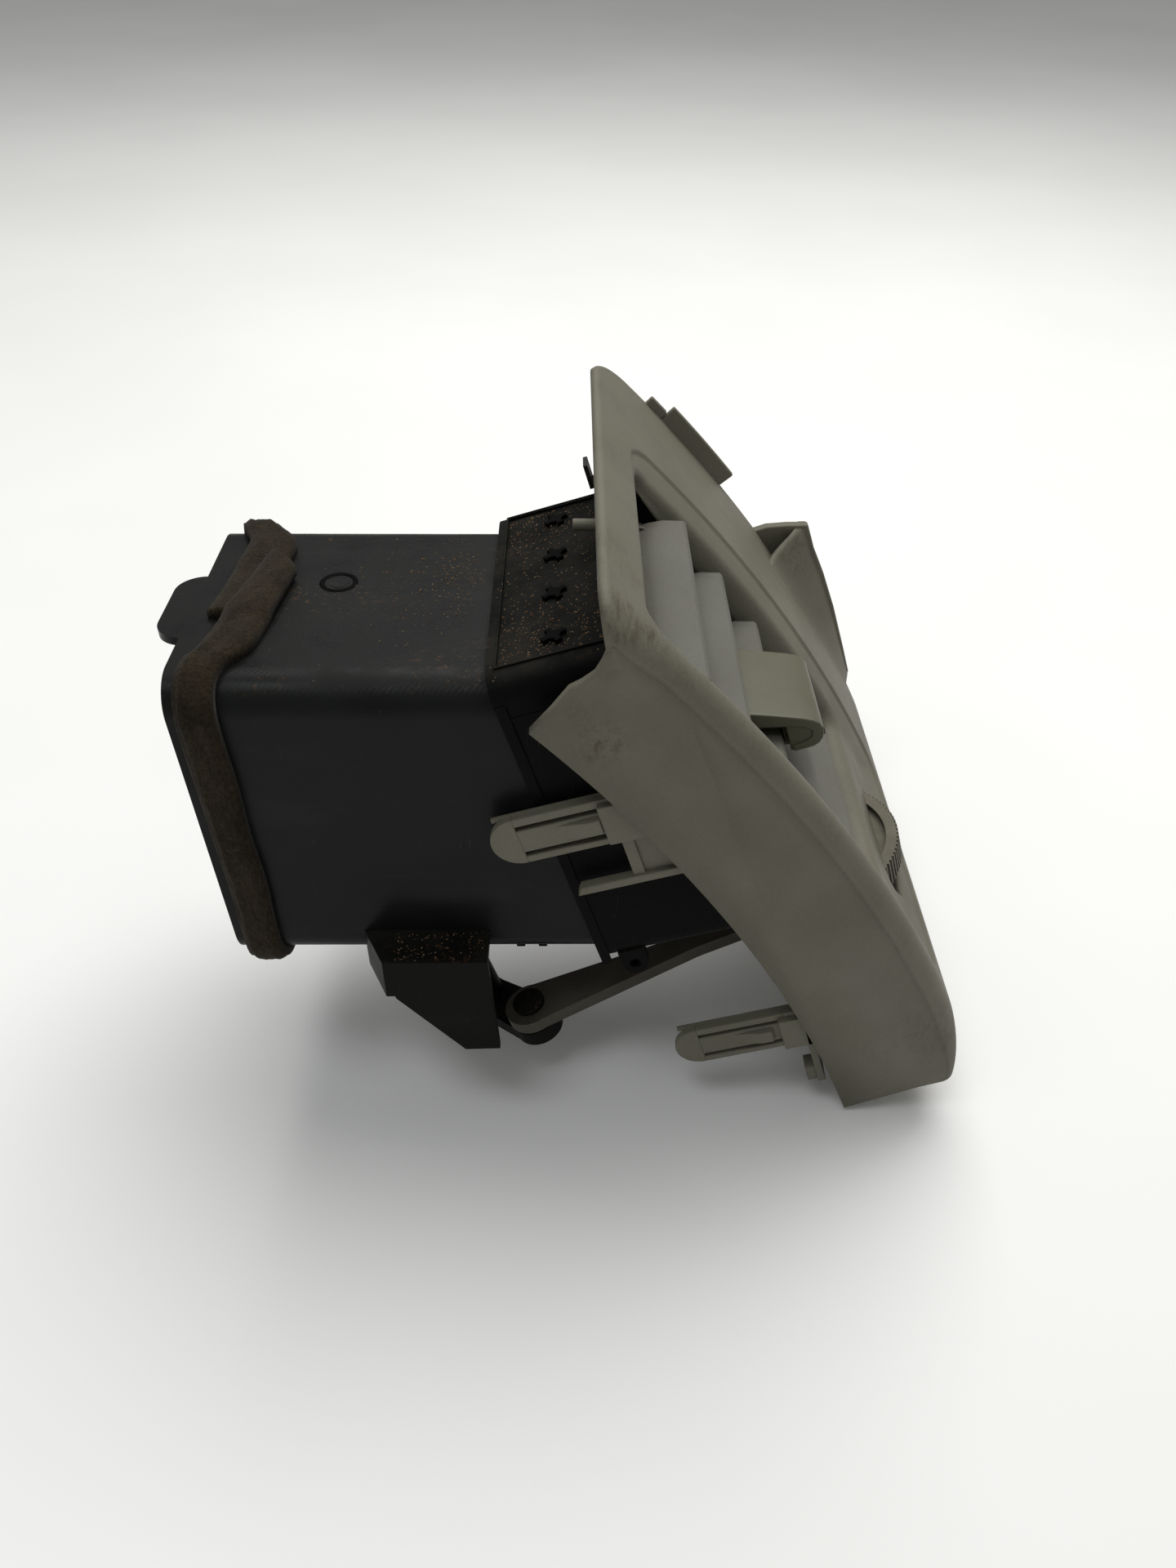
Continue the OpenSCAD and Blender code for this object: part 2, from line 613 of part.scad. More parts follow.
module far_crank() color([0.1, 0.11, 0.11]) head() translate([damper_b, damper_y, 0]) {
    difference() {
        union() {
            z_rod([0, 0], 5, [lever_m[0], boss_low - 0.4]);
            bar([0, 0], tie_step, 4, 3.6, lever_m);
        }
        z_rod([0, 0], shaft_r, [lever_m[0] - 1, boss_low + 1]);
    }
    z_rod(tie_step, small_pin + 0.5, [tie_m[0] - 0.6, lever_m[0] + 1]);
}

module damper_tie_bar() color([0.2, 0.2, 0.19]) head() {
    near_pin = [damper_b, -damper_y] + tie_step;
    far_pin = [damper_b, damper_y] + tie_step;
    difference() {
        bar(near_pin, far_pin, 3.4, 3.4, tie_m);
        z_rod(near_pin, small_pin + 0.5 + fit, [tie_m[0] - 1, tie_m[1] + 1]);
        z_rod(far_pin, small_pin + 0.5 + fit, [tie_m[0] - 1, tie_m[1] + 1]);
    }
}

module damper_blade(shaft_end) color([0.12, 0.13, 0.13]) {
    block([-plate_half, -1, plate_m[0]], [plate_half, 1, plate_m[1]]);
    z_rod([0, 0], shaft_r, [shaft_end, plate_m[1]]);
    z_rod([0, 0], stub_r, [plate_m[1] - 1, 55.4]);
}
module damper_foam() color([0.25, 0.2, 0.14]) for (sb = [-1, 1], sy = [-1, 1])
    block([sb > 0 ? shaft_r + 0.3 : -foam_half, sy > 0 ? 1 : -1 - pad_thick, plate_m[0] - 0.4],
        [sb > 0 ? foam_half : -shaft_r - 0.3, sy > 0 ? 1 + pad_thick : -1, plate_m[1] + 0.4]);
module near_damper_blade() head() translate([damper_b, -damper_y, 0]) damper_blade(crank_m[0]);
module far_damper_blade() head() translate([damper_b, damper_y, 0]) damper_blade(lever_m[0]);
module near_damper_foam() head() translate([damper_b, -damper_y, 0]) damper_foam();
module far_damper_foam() head() translate([damper_b, damper_y, 0]) damper_foam();

face_panel();
vane_housing();
rear_duct();
inlet_foam_seal();
crank_guard();
wheel_axle_pin();
top_retainer_clip();
level_vane_1();
level_vane_2();
level_vane_3();
level_vane_4();
level_vane_5();
level_vane_link();
knob_cap();
knob_carrier();
knob_friction_pad();
upright_vane_1();
upright_vane_2();
upright_vane_3();
upright_vane_4();
upright_vane_link();
thumbwheel();
control_arm();
near_crank();
far_crank();
near_damper_blade();
far_damper_blade();
near_damper_foam();
far_damper_foam();
damper_tie_bar();
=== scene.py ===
import json
import math
import random

import bmesh
import bpy
import numpy as np
from mathutils import Matrix, Vector, noise

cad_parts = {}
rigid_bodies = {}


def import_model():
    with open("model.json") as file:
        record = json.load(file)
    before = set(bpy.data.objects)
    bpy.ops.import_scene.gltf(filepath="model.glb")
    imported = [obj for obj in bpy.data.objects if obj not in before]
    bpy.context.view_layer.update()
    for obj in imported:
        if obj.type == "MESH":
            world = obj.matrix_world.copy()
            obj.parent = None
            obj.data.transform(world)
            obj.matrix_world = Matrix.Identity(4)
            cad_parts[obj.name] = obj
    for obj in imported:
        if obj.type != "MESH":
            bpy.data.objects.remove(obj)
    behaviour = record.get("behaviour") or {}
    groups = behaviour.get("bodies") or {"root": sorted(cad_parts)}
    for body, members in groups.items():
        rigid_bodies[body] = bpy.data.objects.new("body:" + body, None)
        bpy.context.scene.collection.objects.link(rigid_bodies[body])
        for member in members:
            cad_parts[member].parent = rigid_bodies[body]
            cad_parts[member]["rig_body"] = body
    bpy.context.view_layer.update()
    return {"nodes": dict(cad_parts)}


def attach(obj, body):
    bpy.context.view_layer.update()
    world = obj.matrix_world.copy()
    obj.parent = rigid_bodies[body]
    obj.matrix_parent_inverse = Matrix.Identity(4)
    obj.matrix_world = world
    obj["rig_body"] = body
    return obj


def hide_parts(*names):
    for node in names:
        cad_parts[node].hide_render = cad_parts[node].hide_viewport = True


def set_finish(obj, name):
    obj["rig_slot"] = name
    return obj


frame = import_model()
nodes = frame["nodes"]
MM = 0.001

# ---------------------------------------------------------------- the housing's tilted frame
TILT = math.radians(17)
CT, ST = math.cos(TILT), math.sin(TILT)
HEAD_X, HEAD_Z = 96.0, 5.0


def head(b, y, m):
    """A point of the tilted housing frame, in millimetres, as a row-frame point in metres."""
    return Vector((HEAD_X + b * CT - m * ST, y, HEAD_Z + b * ST + m * CT)) * MM


def row(x, y, z):
    return Vector((x, y, z)) * MM


LEAN = 0.33
HALF_H = 48.0


def front_b(m):
    """The housing's leaning front edge."""
    return 36 - LEAN * m


VANE_B, VANE_M, VANE_PITCH = 31.34, -3.2, 18.5


def vane_pivot(i):
    """Level vane i's pivot (b, m), counted from the top; the knob rides on vane 3."""
    return VANE_B - LEAN * VANE_PITCH * (3 - i), VANE_M + VANE_PITCH * (3 - i)


DAMPER_B, DAMPER_Y = -59.4, 18.9
DUCT_HALF_W, DUCT_HALF_H, DUCT_R = 40.0, 44.0, 9.0


# ---------------------------------------------------------------- materials
def new_material(name):
    mat = bpy.data.materials.new(name)
    mat.use_nodes = True
    nt = mat.node_tree
    nt.nodes.clear()
    out = nt.nodes.new("ShaderNodeOutputMaterial")
    bsdf = nt.nodes.new("ShaderNodeBsdfPrincipled")
    nt.links.new(bsdf.outputs[0], out.inputs[0])
    tc = nt.nodes.new("ShaderNodeTexCoord")
    return mat, nt, bsdf, tc.outputs["Object"]


def noise_tex(nt, coord, scale, detail=4.0, rough=0.55, stretch=None):
    if stretch:
        mp = nt.nodes.new("ShaderNodeMapping")
        mp.inputs["Scale"].default_value = stretch
        nt.links.new(coord, mp.inputs["Vector"])
        coord = mp.outputs[0]
    n = nt.nodes.new("ShaderNodeTexNoise")
    n.inputs["Scale"].default_value = scale
    n.inputs["Detail"].default_value = detail
    n.inputs["Roughness"].default_value = rough
    nt.links.new(coord, n.inputs["Vector"])
    return n.outputs["Fac"]


def voronoi(nt, coord, scale, feature="F1"):
    v = nt.nodes.new("ShaderNodeTexVoronoi")
    v.feature = feature
    v.inputs["Scale"].default_value = scale
    nt.links.new(coord, v.inputs["Vector"])
    return v.outputs["Distance"]


def remap(nt, value, lo, hi, to_lo=0.0, to_hi=1.0):
    r = nt.nodes.new("ShaderNodeMapRange")
    r.interpolation_type = "SMOOTHSTEP"
    r.inputs["From Min"].default_value = lo
    r.inputs["From Max"].default_value = hi
    r.inputs["To Min"].default_value = to_lo
    r.inputs["To Max"].default_value = to_hi
    nt.links.new(value, r.inputs["Value"])
    return r.outputs[0]


def calc(nt, op, a, b):
    m = nt.nodes.new("ShaderNodeMath")
    m.operation = op
    for i, v in enumerate((a, b)):
        if isinstance(v, (int, float)):
            m.inputs[i].default_value = v
        else:
            nt.links.new(v, m.inputs[i])
    return m.outputs[0]


def mix(nt, fac, a, b):
    m = nt.nodes.new("ShaderNodeMix")
    m.data_type = "RGBA"
    if isinstance(fac, (int, float)):
        m.inputs[0].default_value = fac
    else:
        nt.links.new(fac, m.inputs[0])
    for i, v in ((6, a), (7, b)):
        if isinstance(v, tuple):
            m.inputs[i].default_value = (*v, 1)
        else:
            nt.links.new(v, m.inputs[i])
    return m.outputs[2]


def bump(nt, bsdf, layers):
    """layers: (height, strength, distance in metres)."""
    normal = None
    for h, strength, dist in layers:
        b = nt.nodes.new("ShaderNodeBump")
        b.inputs["Strength"].default_value = strength
        b.inputs["Distance"].default_value = dist
        nt.links.new(h, b.inputs["Height"])
        if normal is not None:
            nt.links.new(normal, b.inputs["Normal"])
        normal = b.outputs[0]
    nt.links.new(normal, bsdf.inputs["Normal"])


def spot(nt, coord, point, radius):
    """1 at a row-frame point, falling to 0 at radius (millimetres)."""
    d = nt.nodes.new("ShaderNodeVectorMath")
    d.operation = "DISTANCE"
    nt.links.new(coord, d.inputs[0])
    d.inputs[1].default_value = tuple(v * MM for v in point)
    return remap(nt, d.outputs["Value"], radius * MM, radius * MM * 0.15)


def facing_up(nt):
    g = nt.nodes.new("ShaderNodeNewGeometry")
    s = nt.nodes.new("ShaderNodeSeparateXYZ")
    nt.links.new(g.outputs["Normal"], s.inputs[0])
    return s.outputs["Z"]


def up_facing(nt, lo=0.35, hi=0.95):
    return remap(nt, facing_up(nt), lo, hi)


def grained_plastic(name, base, dark, dust, rough=0.55, stains=(), up_facing_amount=0.35, grain=1.0):
    """Fine-grained moulded plastic with grime, brown stains at named places and a colour (dust) mixed
    onto up-facing faces: settled dust, and on the control arm also painted shade.
    """
    mat, nt, bsdf, co = new_material(name)
    cloud = noise_tex(nt, co, 38, 5)
    fine = noise_tex(nt, co, 900, 3, 0.7)
    pores = voronoi(nt, co, 1500)
    col = mix(nt, remap(nt, cloud, 0.3, 0.72), dark, base)
    speck = remap(nt, noise_tex(nt, co, 1700, 2, 0.8), 0.66, 0.74)
    col = mix(nt, calc(nt, "MULTIPLY", speck, 0.35), col, tuple(v * 0.45 for v in base))
    col = mix(nt, calc(nt, "MULTIPLY", remap(nt, fine, 0.35, 0.7), 0.18), col,
              tuple(min(1, v * 1.3) for v in base))
    grime = remap(nt, noise_tex(nt, co, 120, 6, 0.7), 0.5, 0.78)
    for point, radius, strength in stains:
        s = calc(nt, "MULTIPLY", spot(nt, co, point, radius), strength)
        scratch = noise_tex(nt, co, 420, 7, 0.8, (1.0, 0.2, 0.55))
        s = calc(nt, "MULTIPLY", s, remap(nt, scratch, 0.4, 0.72))
        col = mix(nt, s, col, (0.05, 0.036, 0.02))
    col = mix(nt, calc(nt, "MULTIPLY", grime, 0.12), col, (0.1, 0.08, 0.055))
    # up-facing faces take the dust colour: settled dust, and for the control arm also painted shade
    d = calc(nt, "MULTIPLY", up_facing(nt), remap(nt, noise_tex(nt, co, 75, 6, 0.65), 0.38, 0.72))
    col = mix(nt, calc(nt, "MULTIPLY", d, up_facing_amount), col, dust)
    nt.links.new(col, bsdf.inputs["Base Color"])
    nt.links.new(remap(nt, cloud, 0.2, 0.8, rough + 0.1, rough - 0.05), bsdf.inputs["Roughness"])
    bsdf.inputs["Specular IOR Level"].default_value = 0.35
    bump(nt, bsdf, [(pores, 0.35 * grain, 0.00012), (fine, 0.25 * grain, 0.00018),
                    (cloud, 0.1, 0.0006)])
    return mat


def black_plastic(name, base, tint, rough, up_facing_amount, rust=0.0, ripple=0.0, specks=0.3, gloss=0.1):
    """Dusty black moulding: a green-grey cast, flow marks, rust-coloured grit where it lies flat."""
    mat, nt, bsdf, co = new_material(name)
    cloud = noise_tex(nt, co, 26, 5)
    flow = noise_tex(nt, co, 60, 4, 0.6, (0.3, 1.4, 1.0))
    col = mix(nt, remap(nt, cloud, 0.3, 0.75), base, tint)
    col = mix(nt, calc(nt, "MULTIPLY", remap(nt, flow, 0.55, 0.75), 0.35), col,
              tuple(v * 1.8 for v in tint))
    streak = remap(nt, noise_tex(nt, co, 420, 3, 0.8, (1.0, 1.0, 0.12)), 0.66, 0.74)
    col = mix(nt, calc(nt, "MULTIPLY", streak, 0.12 * specks / 0.3), col, (0.12, 0.13, 0.12))
    up = up_facing(nt, 0.5, 0.97)
    film = calc(nt, "MULTIPLY", up, remap(nt, noise_tex(nt, co, 48, 6, 0.7), 0.36, 0.7))
    col = mix(nt, calc(nt, "MULTIPLY", film, up_facing_amount), col, (0.06, 0.055, 0.046))
    if rust:
        big = remap(nt, noise_tex(nt, co, 30, 4, 0.6), 0.46, 0.62)
        grit = remap(nt, noise_tex(nt, co, 620, 3, 0.75), 0.56, 0.66)
        g = calc(nt, "MULTIPLY", calc(nt, "MULTIPLY", big, grit), up)
        col = mix(nt, calc(nt, "MULTIPLY", g, rust), col, (0.16, 0.072, 0.03))
        sand = remap(nt, voronoi(nt, co, 520), 0.14, 0.06)
        g2 = calc(nt, "MULTIPLY", calc(nt, "MULTIPLY", sand, up), remap(nt, noise_tex(nt, co, 55, 3),
                0.5, 0.62))
        col = mix(nt, calc(nt, "MULTIPLY", g2, rust), col, (0.26, 0.17, 0.09))
    nt.links.new(col, bsdf.inputs["Base Color"])
    r = calc(nt, "ADD", remap(nt, cloud, 0.25, 0.75, rough, rough + 0.12),
             calc(nt, "MULTIPLY", film, 0.3))
    nt.links.new(r, bsdf.inputs["Roughness"])
    bsdf.inputs["Specular IOR Level"].default_value = gloss
    layers = [(noise_tex(nt, co, 1400, 3, 0.6), 0.18, 0.00008), (flow, 0.12, 0.0008)]
    if ripple:
        w = nt.nodes.new("ShaderNodeTexWave")
        w.inputs["Scale"].default_value = 420
        w.inputs["Distortion"].default_value = 2.0
        w.inputs["Detail"].default_value = 2.0
        mp = nt.nodes.new("ShaderNodeMapping")
        mp.inputs["Rotation"].default_value = (0.0, 0.6, 0.9)
        nt.links.new(co, mp.inputs["Vector"])
        nt.links.new(mp.outputs[0], w.inputs["Vector"])
        w.wave_type = "BANDS"
        where = remap(nt, facing_up(nt), 0.25, 0.6)
        layers.append((calc(nt, "MULTIPLY", w.outputs["Fac"], where), ripple, 0.00006))
    bump(nt, bsdf, layers)
    return mat


def foam_material(name, base, deep):
    """Open-celled foam: pits at two sizes and uneven soiling."""
    mat, nt, bsdf, co = new_material(name)
    cells = voronoi(nt, co, 1700)
    cells2 = noise_tex(nt, co, 1500, 4, 0.7, (1.0, 1.0, 0.4))
    soil = noise_tex(nt, co, 90, 5, 0.7)
    col = mix(nt, remap(nt, cells2, 0.35, 0.65), base, deep)
    col = mix(nt, calc(nt, "MULTIPLY", remap(nt, soil, 0.42, 0.72), 0.7), col,
              tuple(v * 0.45 for v in deep))
    col = mix(nt, calc(nt, "MULTIPLY", remap(nt, noise_tex(nt, co, 420, 4, 0.7), 0.55, 0.75), 0.35),
              col, tuple(v * 1.7 for v in base))
    nt.links.new(col, bsdf.inputs["Base Color"])
    bsdf.inputs["Roughness"].default_value = 0.95
    bsdf.inputs["Specular IOR Level"].default_value = 0.12
    bsdf.inputs["Sheen Weight"].default_value = 0.06
    bump(nt, bsdf, [(cells, 0.6, 0.0002), (cells2, 0.8, 0.0003), (soil, 0.4, 0.001)])
    return mat


def metal_material(name, base, rough):
    mat, nt, bsdf, co = new_material(name)
    cloud = noise_tex(nt, co, 150, 5, 0.7)
    col = mix(nt, remap(nt, cloud, 0.4, 0.7), base, (0.09, 0.055, 0.03))
    nt.links.new(col, bsdf.inputs["Base Color"])
    bsdf.inputs["Metallic"].default_value = 0.8
    nt.links.new(remap(nt, cloud, 0.3, 0.8, rough, rough + 0.3), bsdf.inputs["Roughness"])
    bump(nt, bsdf, [(noise_tex(nt, co, 900, 4), 0.3, 0.0001)])
    return mat


PANEL_STAINS = (
    ((97, -46, 66), 10, 1.0), ((103, -45, 60), 7, 0.9), ((96, -24, 69), 16, 0.45), ((95, 30, 70), 13,
            0.2), ((95, 72, 70), 16, 0.3),
    ((93, -50, 36), 9, 1.0), ((88, -50, 44), 8, 0.3), ((184, -50, -62), 14, 0.6), ((170, -50, -70), 10,
            0.3),
    ((112, -46, 56), 15, 0.4), ((130, -46, 38), 14, 0.35), ((152, -46, 12), 14, 0.3), ((176, -46, -26),
            14, 0.3),
    ((160, 90, 8), 12, 0.75), ((152, 88, 12), 8, 0.5), ((191, -48, -72), 10, 0.45), ((128, -50, -30),
            12, 0.25),
)
M_PANEL = grained_plastic("panel_grain", (0.135, 0.127, 0.095), (0.118, 0.111, 0.082),
                          (0.125, 0.11, 0.079), 0.6, PANEL_STAINS, 0.2)
M_VANE = grained_plastic("vane_grain", (0.112, 0.11, 0.091), (0.097, 0.095, 0.078),
                         (0.09, 0.077, 0.054), 0.55, (), 0.35, 0.7)
M_KNOB = grained_plastic("knob_worn", (0.103, 0.101, 0.066), (0.09, 0.088, 0.057), (0.13, 0.12, 0.09),
                         0.42, (), 0.12, 0.4)
M_WHEEL = grained_plastic("wheel_dusty", (0.11, 0.1, 0.072), (0.076, 0.069, 0.048),
                          (0.16, 0.14, 0.105), 0.6, (), 0.6, 0.6)
# the arm's up-facing faces go a darker brown: partly settled dust, partly painted shade of the duct's
# shadow
M_ARM = grained_plastic("arm_dust_and_painted_shade", (0.085, 0.078, 0.06), (0.05, 0.045, 0.034), (0.07, 0.06, 0.043),
                        0.6, (), 0.6, 0.5)
M_LINK = grained_plastic("link_grey", (0.05, 0.05, 0.045), (0.03, 0.03, 0.027), (0.06, 0.052, 0.04),
                         0.5, (), 0.5, 0.4)
M_DUCT = black_plastic("duct_black", (0.0066, 0.0074, 0.007), (0.0104, 0.0118, 0.0108), 0.26, 0.05,
                       0.3, 0.3, gloss=0.1)
M_HOUSING = black_plastic("housing_black", (0.003, 0.0032, 0.003), (0.0052, 0.0056, 0.0052), 0.4, 0.26,
                          0.75, gloss=0.035)
M_GUARD = black_plastic("guard_black", (0.0045, 0.0046, 0.0041), (0.0072, 0.0076, 0.0067), 0.4, 0.15,
                        0.5, gloss=0.055)
M_INNER = black_plastic("inner_black", (0.006, 0.0065, 0.0062), (0.01, 0.011, 0.0105), 0.45, 0.5, 0.2,
                        gloss=0.1)
M_FOAM = foam_material("seal_foam", (0.029, 0.0212, 0.0112), (0.0135, 0.0095, 0.0048))
M_FOAM_DARK = foam_material("damper_foam", (0.035, 0.03, 0.02), (0.015, 0.0125, 0.008))
M_CLIP = metal_material("clip_spring", (0.05, 0.05, 0.048), 0.45)
M_PAD = black_plastic("pad_rubber", (0.012, 0.012, 0.012), (0.022, 0.022, 0.02), 0.7, 0.2, gloss=0.1)

# ---------------------------------------------------------------- mesh helpers
def make_object(name, verts, faces, mat, body, slot_name, smooth=True):
    me = bpy.data.meshes.new(name)
    me.from_pydata([tuple(v) for v in verts], [], faces)
    me.validate()
    ob = bpy.data.objects.new(name, me)
    bpy.context.scene.collection.objects.link(ob)
    finish_mesh(ob, mat, body, slot_name, smooth)
    return ob


def finish_mesh(ob, mat, body, slot_name, smooth=True):
    bm = bmesh.new()
    bm.from_mesh(ob.data)
    bmesh.ops.recalc_face_normals(bm, faces=bm.faces)
    bm.to_mesh(ob.data)
    bm.free()
    ob.data.polygons.foreach_set("use_smooth", [smooth] * len(ob.data.polygons))
    ob.data.materials.clear()
    ob.data.materials.append(mat)
    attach(ob, body)
    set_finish(ob, slot_name)


def add_bevel(ob, width, segments=3, angle=35):
    bv = ob.modifiers.new("bevel", "BEVEL")
    bv.width = width * MM
    bv.segments = segments
    bv.limit_method = "ANGLE"
    bv.angle_limit = math.radians(angle)
    bv.use_clamp_overlap = True
    wn = ob.modifiers.new("normals", "WEIGHTED_NORMAL")
    wn.keep_sharp = True


def solid(name, outline, place, lo, hi, mat, slot_name, body="housing", bevel=0.35):
    """An outline made solid between lo and hi; place(u, v, w) gives the row-frame point in metres."""
    n = len(outline)
    verts = [place(u, v, w) for w in (lo, hi) for u, v in outline]
    faces = [tuple(range(n)), tuple(range(2 * n - 1, n - 1, -1))]
    faces += [(i, (i + 1) % n, n + (i + 1) % n, n + i) for i in range(n)]
    ob = make_object(name, verts, faces, mat, body, slot_name)
    if bevel:
        add_bevel(ob, bevel)
    return ob


def side_on(u, v, w):
    return row(u, w, v)


def head_side(u, v, w):
    return head(u, w, v)


def head_plan(u, v, w):
    return head(u, v, w)


def arc2(cx, cy, r, a0, a1, n):
    return [(cx + r * math.cos(math.radians(a0 + (a1 - a0) * i / n)),
             cy + r * math.sin(math.radians(a0 + (a1 - a0) * i / n)))
            for i in range(n + 1)]


def join(name, objects):
    """Joins several pieces with the same material into one, keeping each one's modifiers applied."""
    deps = bpy.context.evaluated_depsgraph_get()
    bm = bmesh.new()
    for o in objects:
        ev = o.evaluated_get(deps)
        me = ev.to_mesh()
        me.transform(o.matrix_world)
        bm.from_mesh(me)
        ev.to_mesh_clear()
    first = objects[0]
    me = bpy.data.meshes.new(name)
    bm.to_mesh(me)
    bm.free()
    ob = bpy.data.objects.new(name, me)
    bpy.context.scene.collection.objects.link(ob)
    for m in first.data.materials:
        me.materials.append(m)
    body = first["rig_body"]
    s = first.get("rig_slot")
    for o in objects:
        bpy.data.objects.remove(o)
    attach(ob, body)
    if s:
        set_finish(ob, s)
    return ob


# ---------------------------------------------------------------- CAD nodes that keep their shape
def dress(node, mat, bevel=0.25, angle=32):
    o = nodes[node]
    o.data.materials.clear()
    o.data.materials.append(mat)
    for p in o.data.polygons:
        p.material_index = 0
        p.use_smooth = True
    weld = o.modifiers.new("weld", "WELD")
    weld.merge_threshold = 0.000004
    if bevel:
        bv = o.modifiers.new("bevel", "BEVEL")
        bv.width = bevel * MM
        bv.segments = 2
        bv.limit_method = "ANGLE"
        bv.angle_limit = math.radians(angle)
        bv.use_clamp_overlap = True
    wn = o.modifiers.new("normals", "WEIGHTED_NORMAL")
    wn.keep_sharp = True


for i in range(1, 6):
    dress(f"level_vane_{i}", M_VANE, 0.3)
for i in range(1, 5):
    dress(f"upright_vane_{i}", M_INNER, 0.15)
for name, mat, width in (
    ("vane_housing", M_HOUSING, 0.5), ("rear_duct", M_DUCT, 0.4), ("crank_guard", M_GUARD, 0.35),
    ("wheel_axle_pin", M_LINK, 0.3), ("top_retainer_clip", M_CLIP, 0.2), ("level_vane_link", M_LINK,
            0.25),
    ("knob_carrier", M_KNOB, 0.25), ("knob_friction_pad", M_PAD, 0.2), ("upright_vane_link", M_LINK,
            0.25),
    ("thumbwheel", M_WHEEL, 0.12), ("control_arm", M_ARM, 0.5), ("near_crank", M_GUARD, 0.35),
    ("far_crank", M_GUARD, 0.35), ("near_damper_blade", M_INNER, 0.25), ("far_damper_blade", M_INNER,
            0.25),
    ("damper_tie_bar", M_LINK, 0.25),
):
    dress(name, mat, width)

# the front of each level vane runs on past the link at its far end
VANE_FRONT = [(1, 1.5), (3, 1.5), (7, 1.1), (12.4, -0.7), (13, -1.6), (12.7, -2.5), (11.6, -2.8),
              (7, -1.2), (3, -1.5), (1, -1.5)]
for i in range(1, 6):
    b0, m0 = vane_pivot(i)
    solid(f"vane_{i}_far_end", [(b0 + u, m0 + v) for u, v in VANE_FRONT], head_side, 34.6, 37.6,
          M_VANE, "panel_plastic",
          body=f"level_{i}", bevel=0.3)


# ---------------------------------------------------------------- face panel
# The panel is one sheet over a profile length s (from the top edge round the face and chin) and
# the width y; k is the depth inside the large arc.
FACE_C, FACE_R = (-192.0, -245.0), 426.0
FACE_TOP, FACE_LOW = 48.03, 27.0
CHIN_R, CORNER_R, CORNER_END = 70.0, 4.0, -69.0
CHIN_C = (FACE_C[0] + (FACE_R - CHIN_R) * math.cos(math.radians(FACE_LOW)),
          FACE_C[1] + (FACE_R - CHIN_R) * math.sin(math.radians(FACE_LOW)))
CORNER_C = (CHIN_C[0] + CHIN_R - CORNER_R, CHIN_C[1])
FLANK_C, FLANK_R = (-207.0, -243.0), 400.0
FLANK_FOOT = (165.7, -97.7)
NEAR_Y, FAR_Y = -50.0, 95.0
LEN_FACE = math.radians(FACE_TOP - FACE_LOW) * FACE_R
LEN_CHIN = math.radians(FACE_LOW) * CHIN_R
LEN_CORNER = math.radians(-CORNER_END) * CORNER_R
S_CHIN = LEN_FACE + LEN_CHIN
S_END = S_CHIN + LEN_CORNER
CORNER_OUT = (CORNER_C[0] + CORNER_R * math.cos(math.radians(CORNER_END)),
              CORNER_C[1] + CORNER_R * math.sin(math.radians(CORNER_END)))
S_FOOT = S_END + math.dist(CORNER_OUT, FLANK_FOOT)


def s_of(angle):
    return math.radians(FACE_TOP - angle) * FACE_R


def profile(s):
    """(x, z) on the outer skin and the outward normal there."""
    if s <= LEN_FACE:
        a = math.radians(FACE_TOP) - s / FACE_R
        c, r = FACE_C, FACE_R
    elif s <= S_CHIN:
        a = math.radians(FACE_LOW) - (s - LEN_FACE) / CHIN_R
        c, r = CHIN_C, CHIN_R
    elif s <= S_END:
        a = -(s - S_CHIN) / CORNER_R
        c, r = CORNER_C, CORNER_R
    else:
        a = math.radians(CORNER_END)
        t = (s - S_END) / (S_FOOT - S_END)
        p = (CORNER_OUT[0] + (FLANK_FOOT[0] - CORNER_OUT[0]) * t,
             CORNER_OUT[1] + (FLANK_FOOT[1] - CORNER_OUT[1]) * t)
        return p, (math.cos(a), math.sin(a))
    n = (math.cos(a), math.sin(a))
    return (c[0] + r * n[0], c[1] + r * n[1]), n


def near_turn(s):
    """Direction in which the near edge turns down: straight down at the top, square to the face below."""
    nx, nz = profile(s)[1]
    f = smooth(s / NEAR_TURN_LEN)
    d = Vector((0.18 * (1 - f) - nx * f, -(1 - f) - nz * f)).normalized()
    return d.x, d.y


def skin(s, y, k):
    r = round_over(y - NEAR_Y, near_round(s))
    (px, pz), (nx, nz) = profile(s)
    dx, dz = near_turn(s)
    return row(px - k * nx + r * dx, y, pz - k * nz + r * dz)


def far_corner(s, y):
    """Bends the grid round the top edge's far corner; the third value is the distance to the edge."""
    u, v = (y - (FAR_Y - FAR_CORNER_R)) / FAR_CORNER_R, (FAR_CORNER_R - s) / FAR_CORNER_R
    if u <= 0 or v <= 0:
        return s, y, min(s, FAR_Y - y)
    f = max(u, v) / math.hypot(u, v)
    return (FAR_CORNER_R * (1 - v * f), FAR_Y - FAR_CORNER_R * (1 - u * f),
            FAR_CORNER_R * (1 - max(u, v)))


def smooth(t):
    t = min(1.0, max(0.0, t))
    return t * t * (3 - 2 * t)


def rect_dist(s, y, s0, s1, y0, y1, r):
    """Signed distance to a rounded rectangle, negative inside."""
    ds = max(s0 + r - s, s - (s1 - r))
    dy = max(y0 + r - y, y - (y1 - r))
    outside = math.hypot(max(ds, 0), max(dy, 0))
    return outside + min(max(ds, dy), 0) - r


def round_over(d, r):
    """Depth of a quarter-round edge of radius r at distance d inside it."""
    if d >= r:
        return 0.0
    d = max(d, 0.0)
    return r - math.sqrt(max(r * r - (r - d) ** 2, 0))


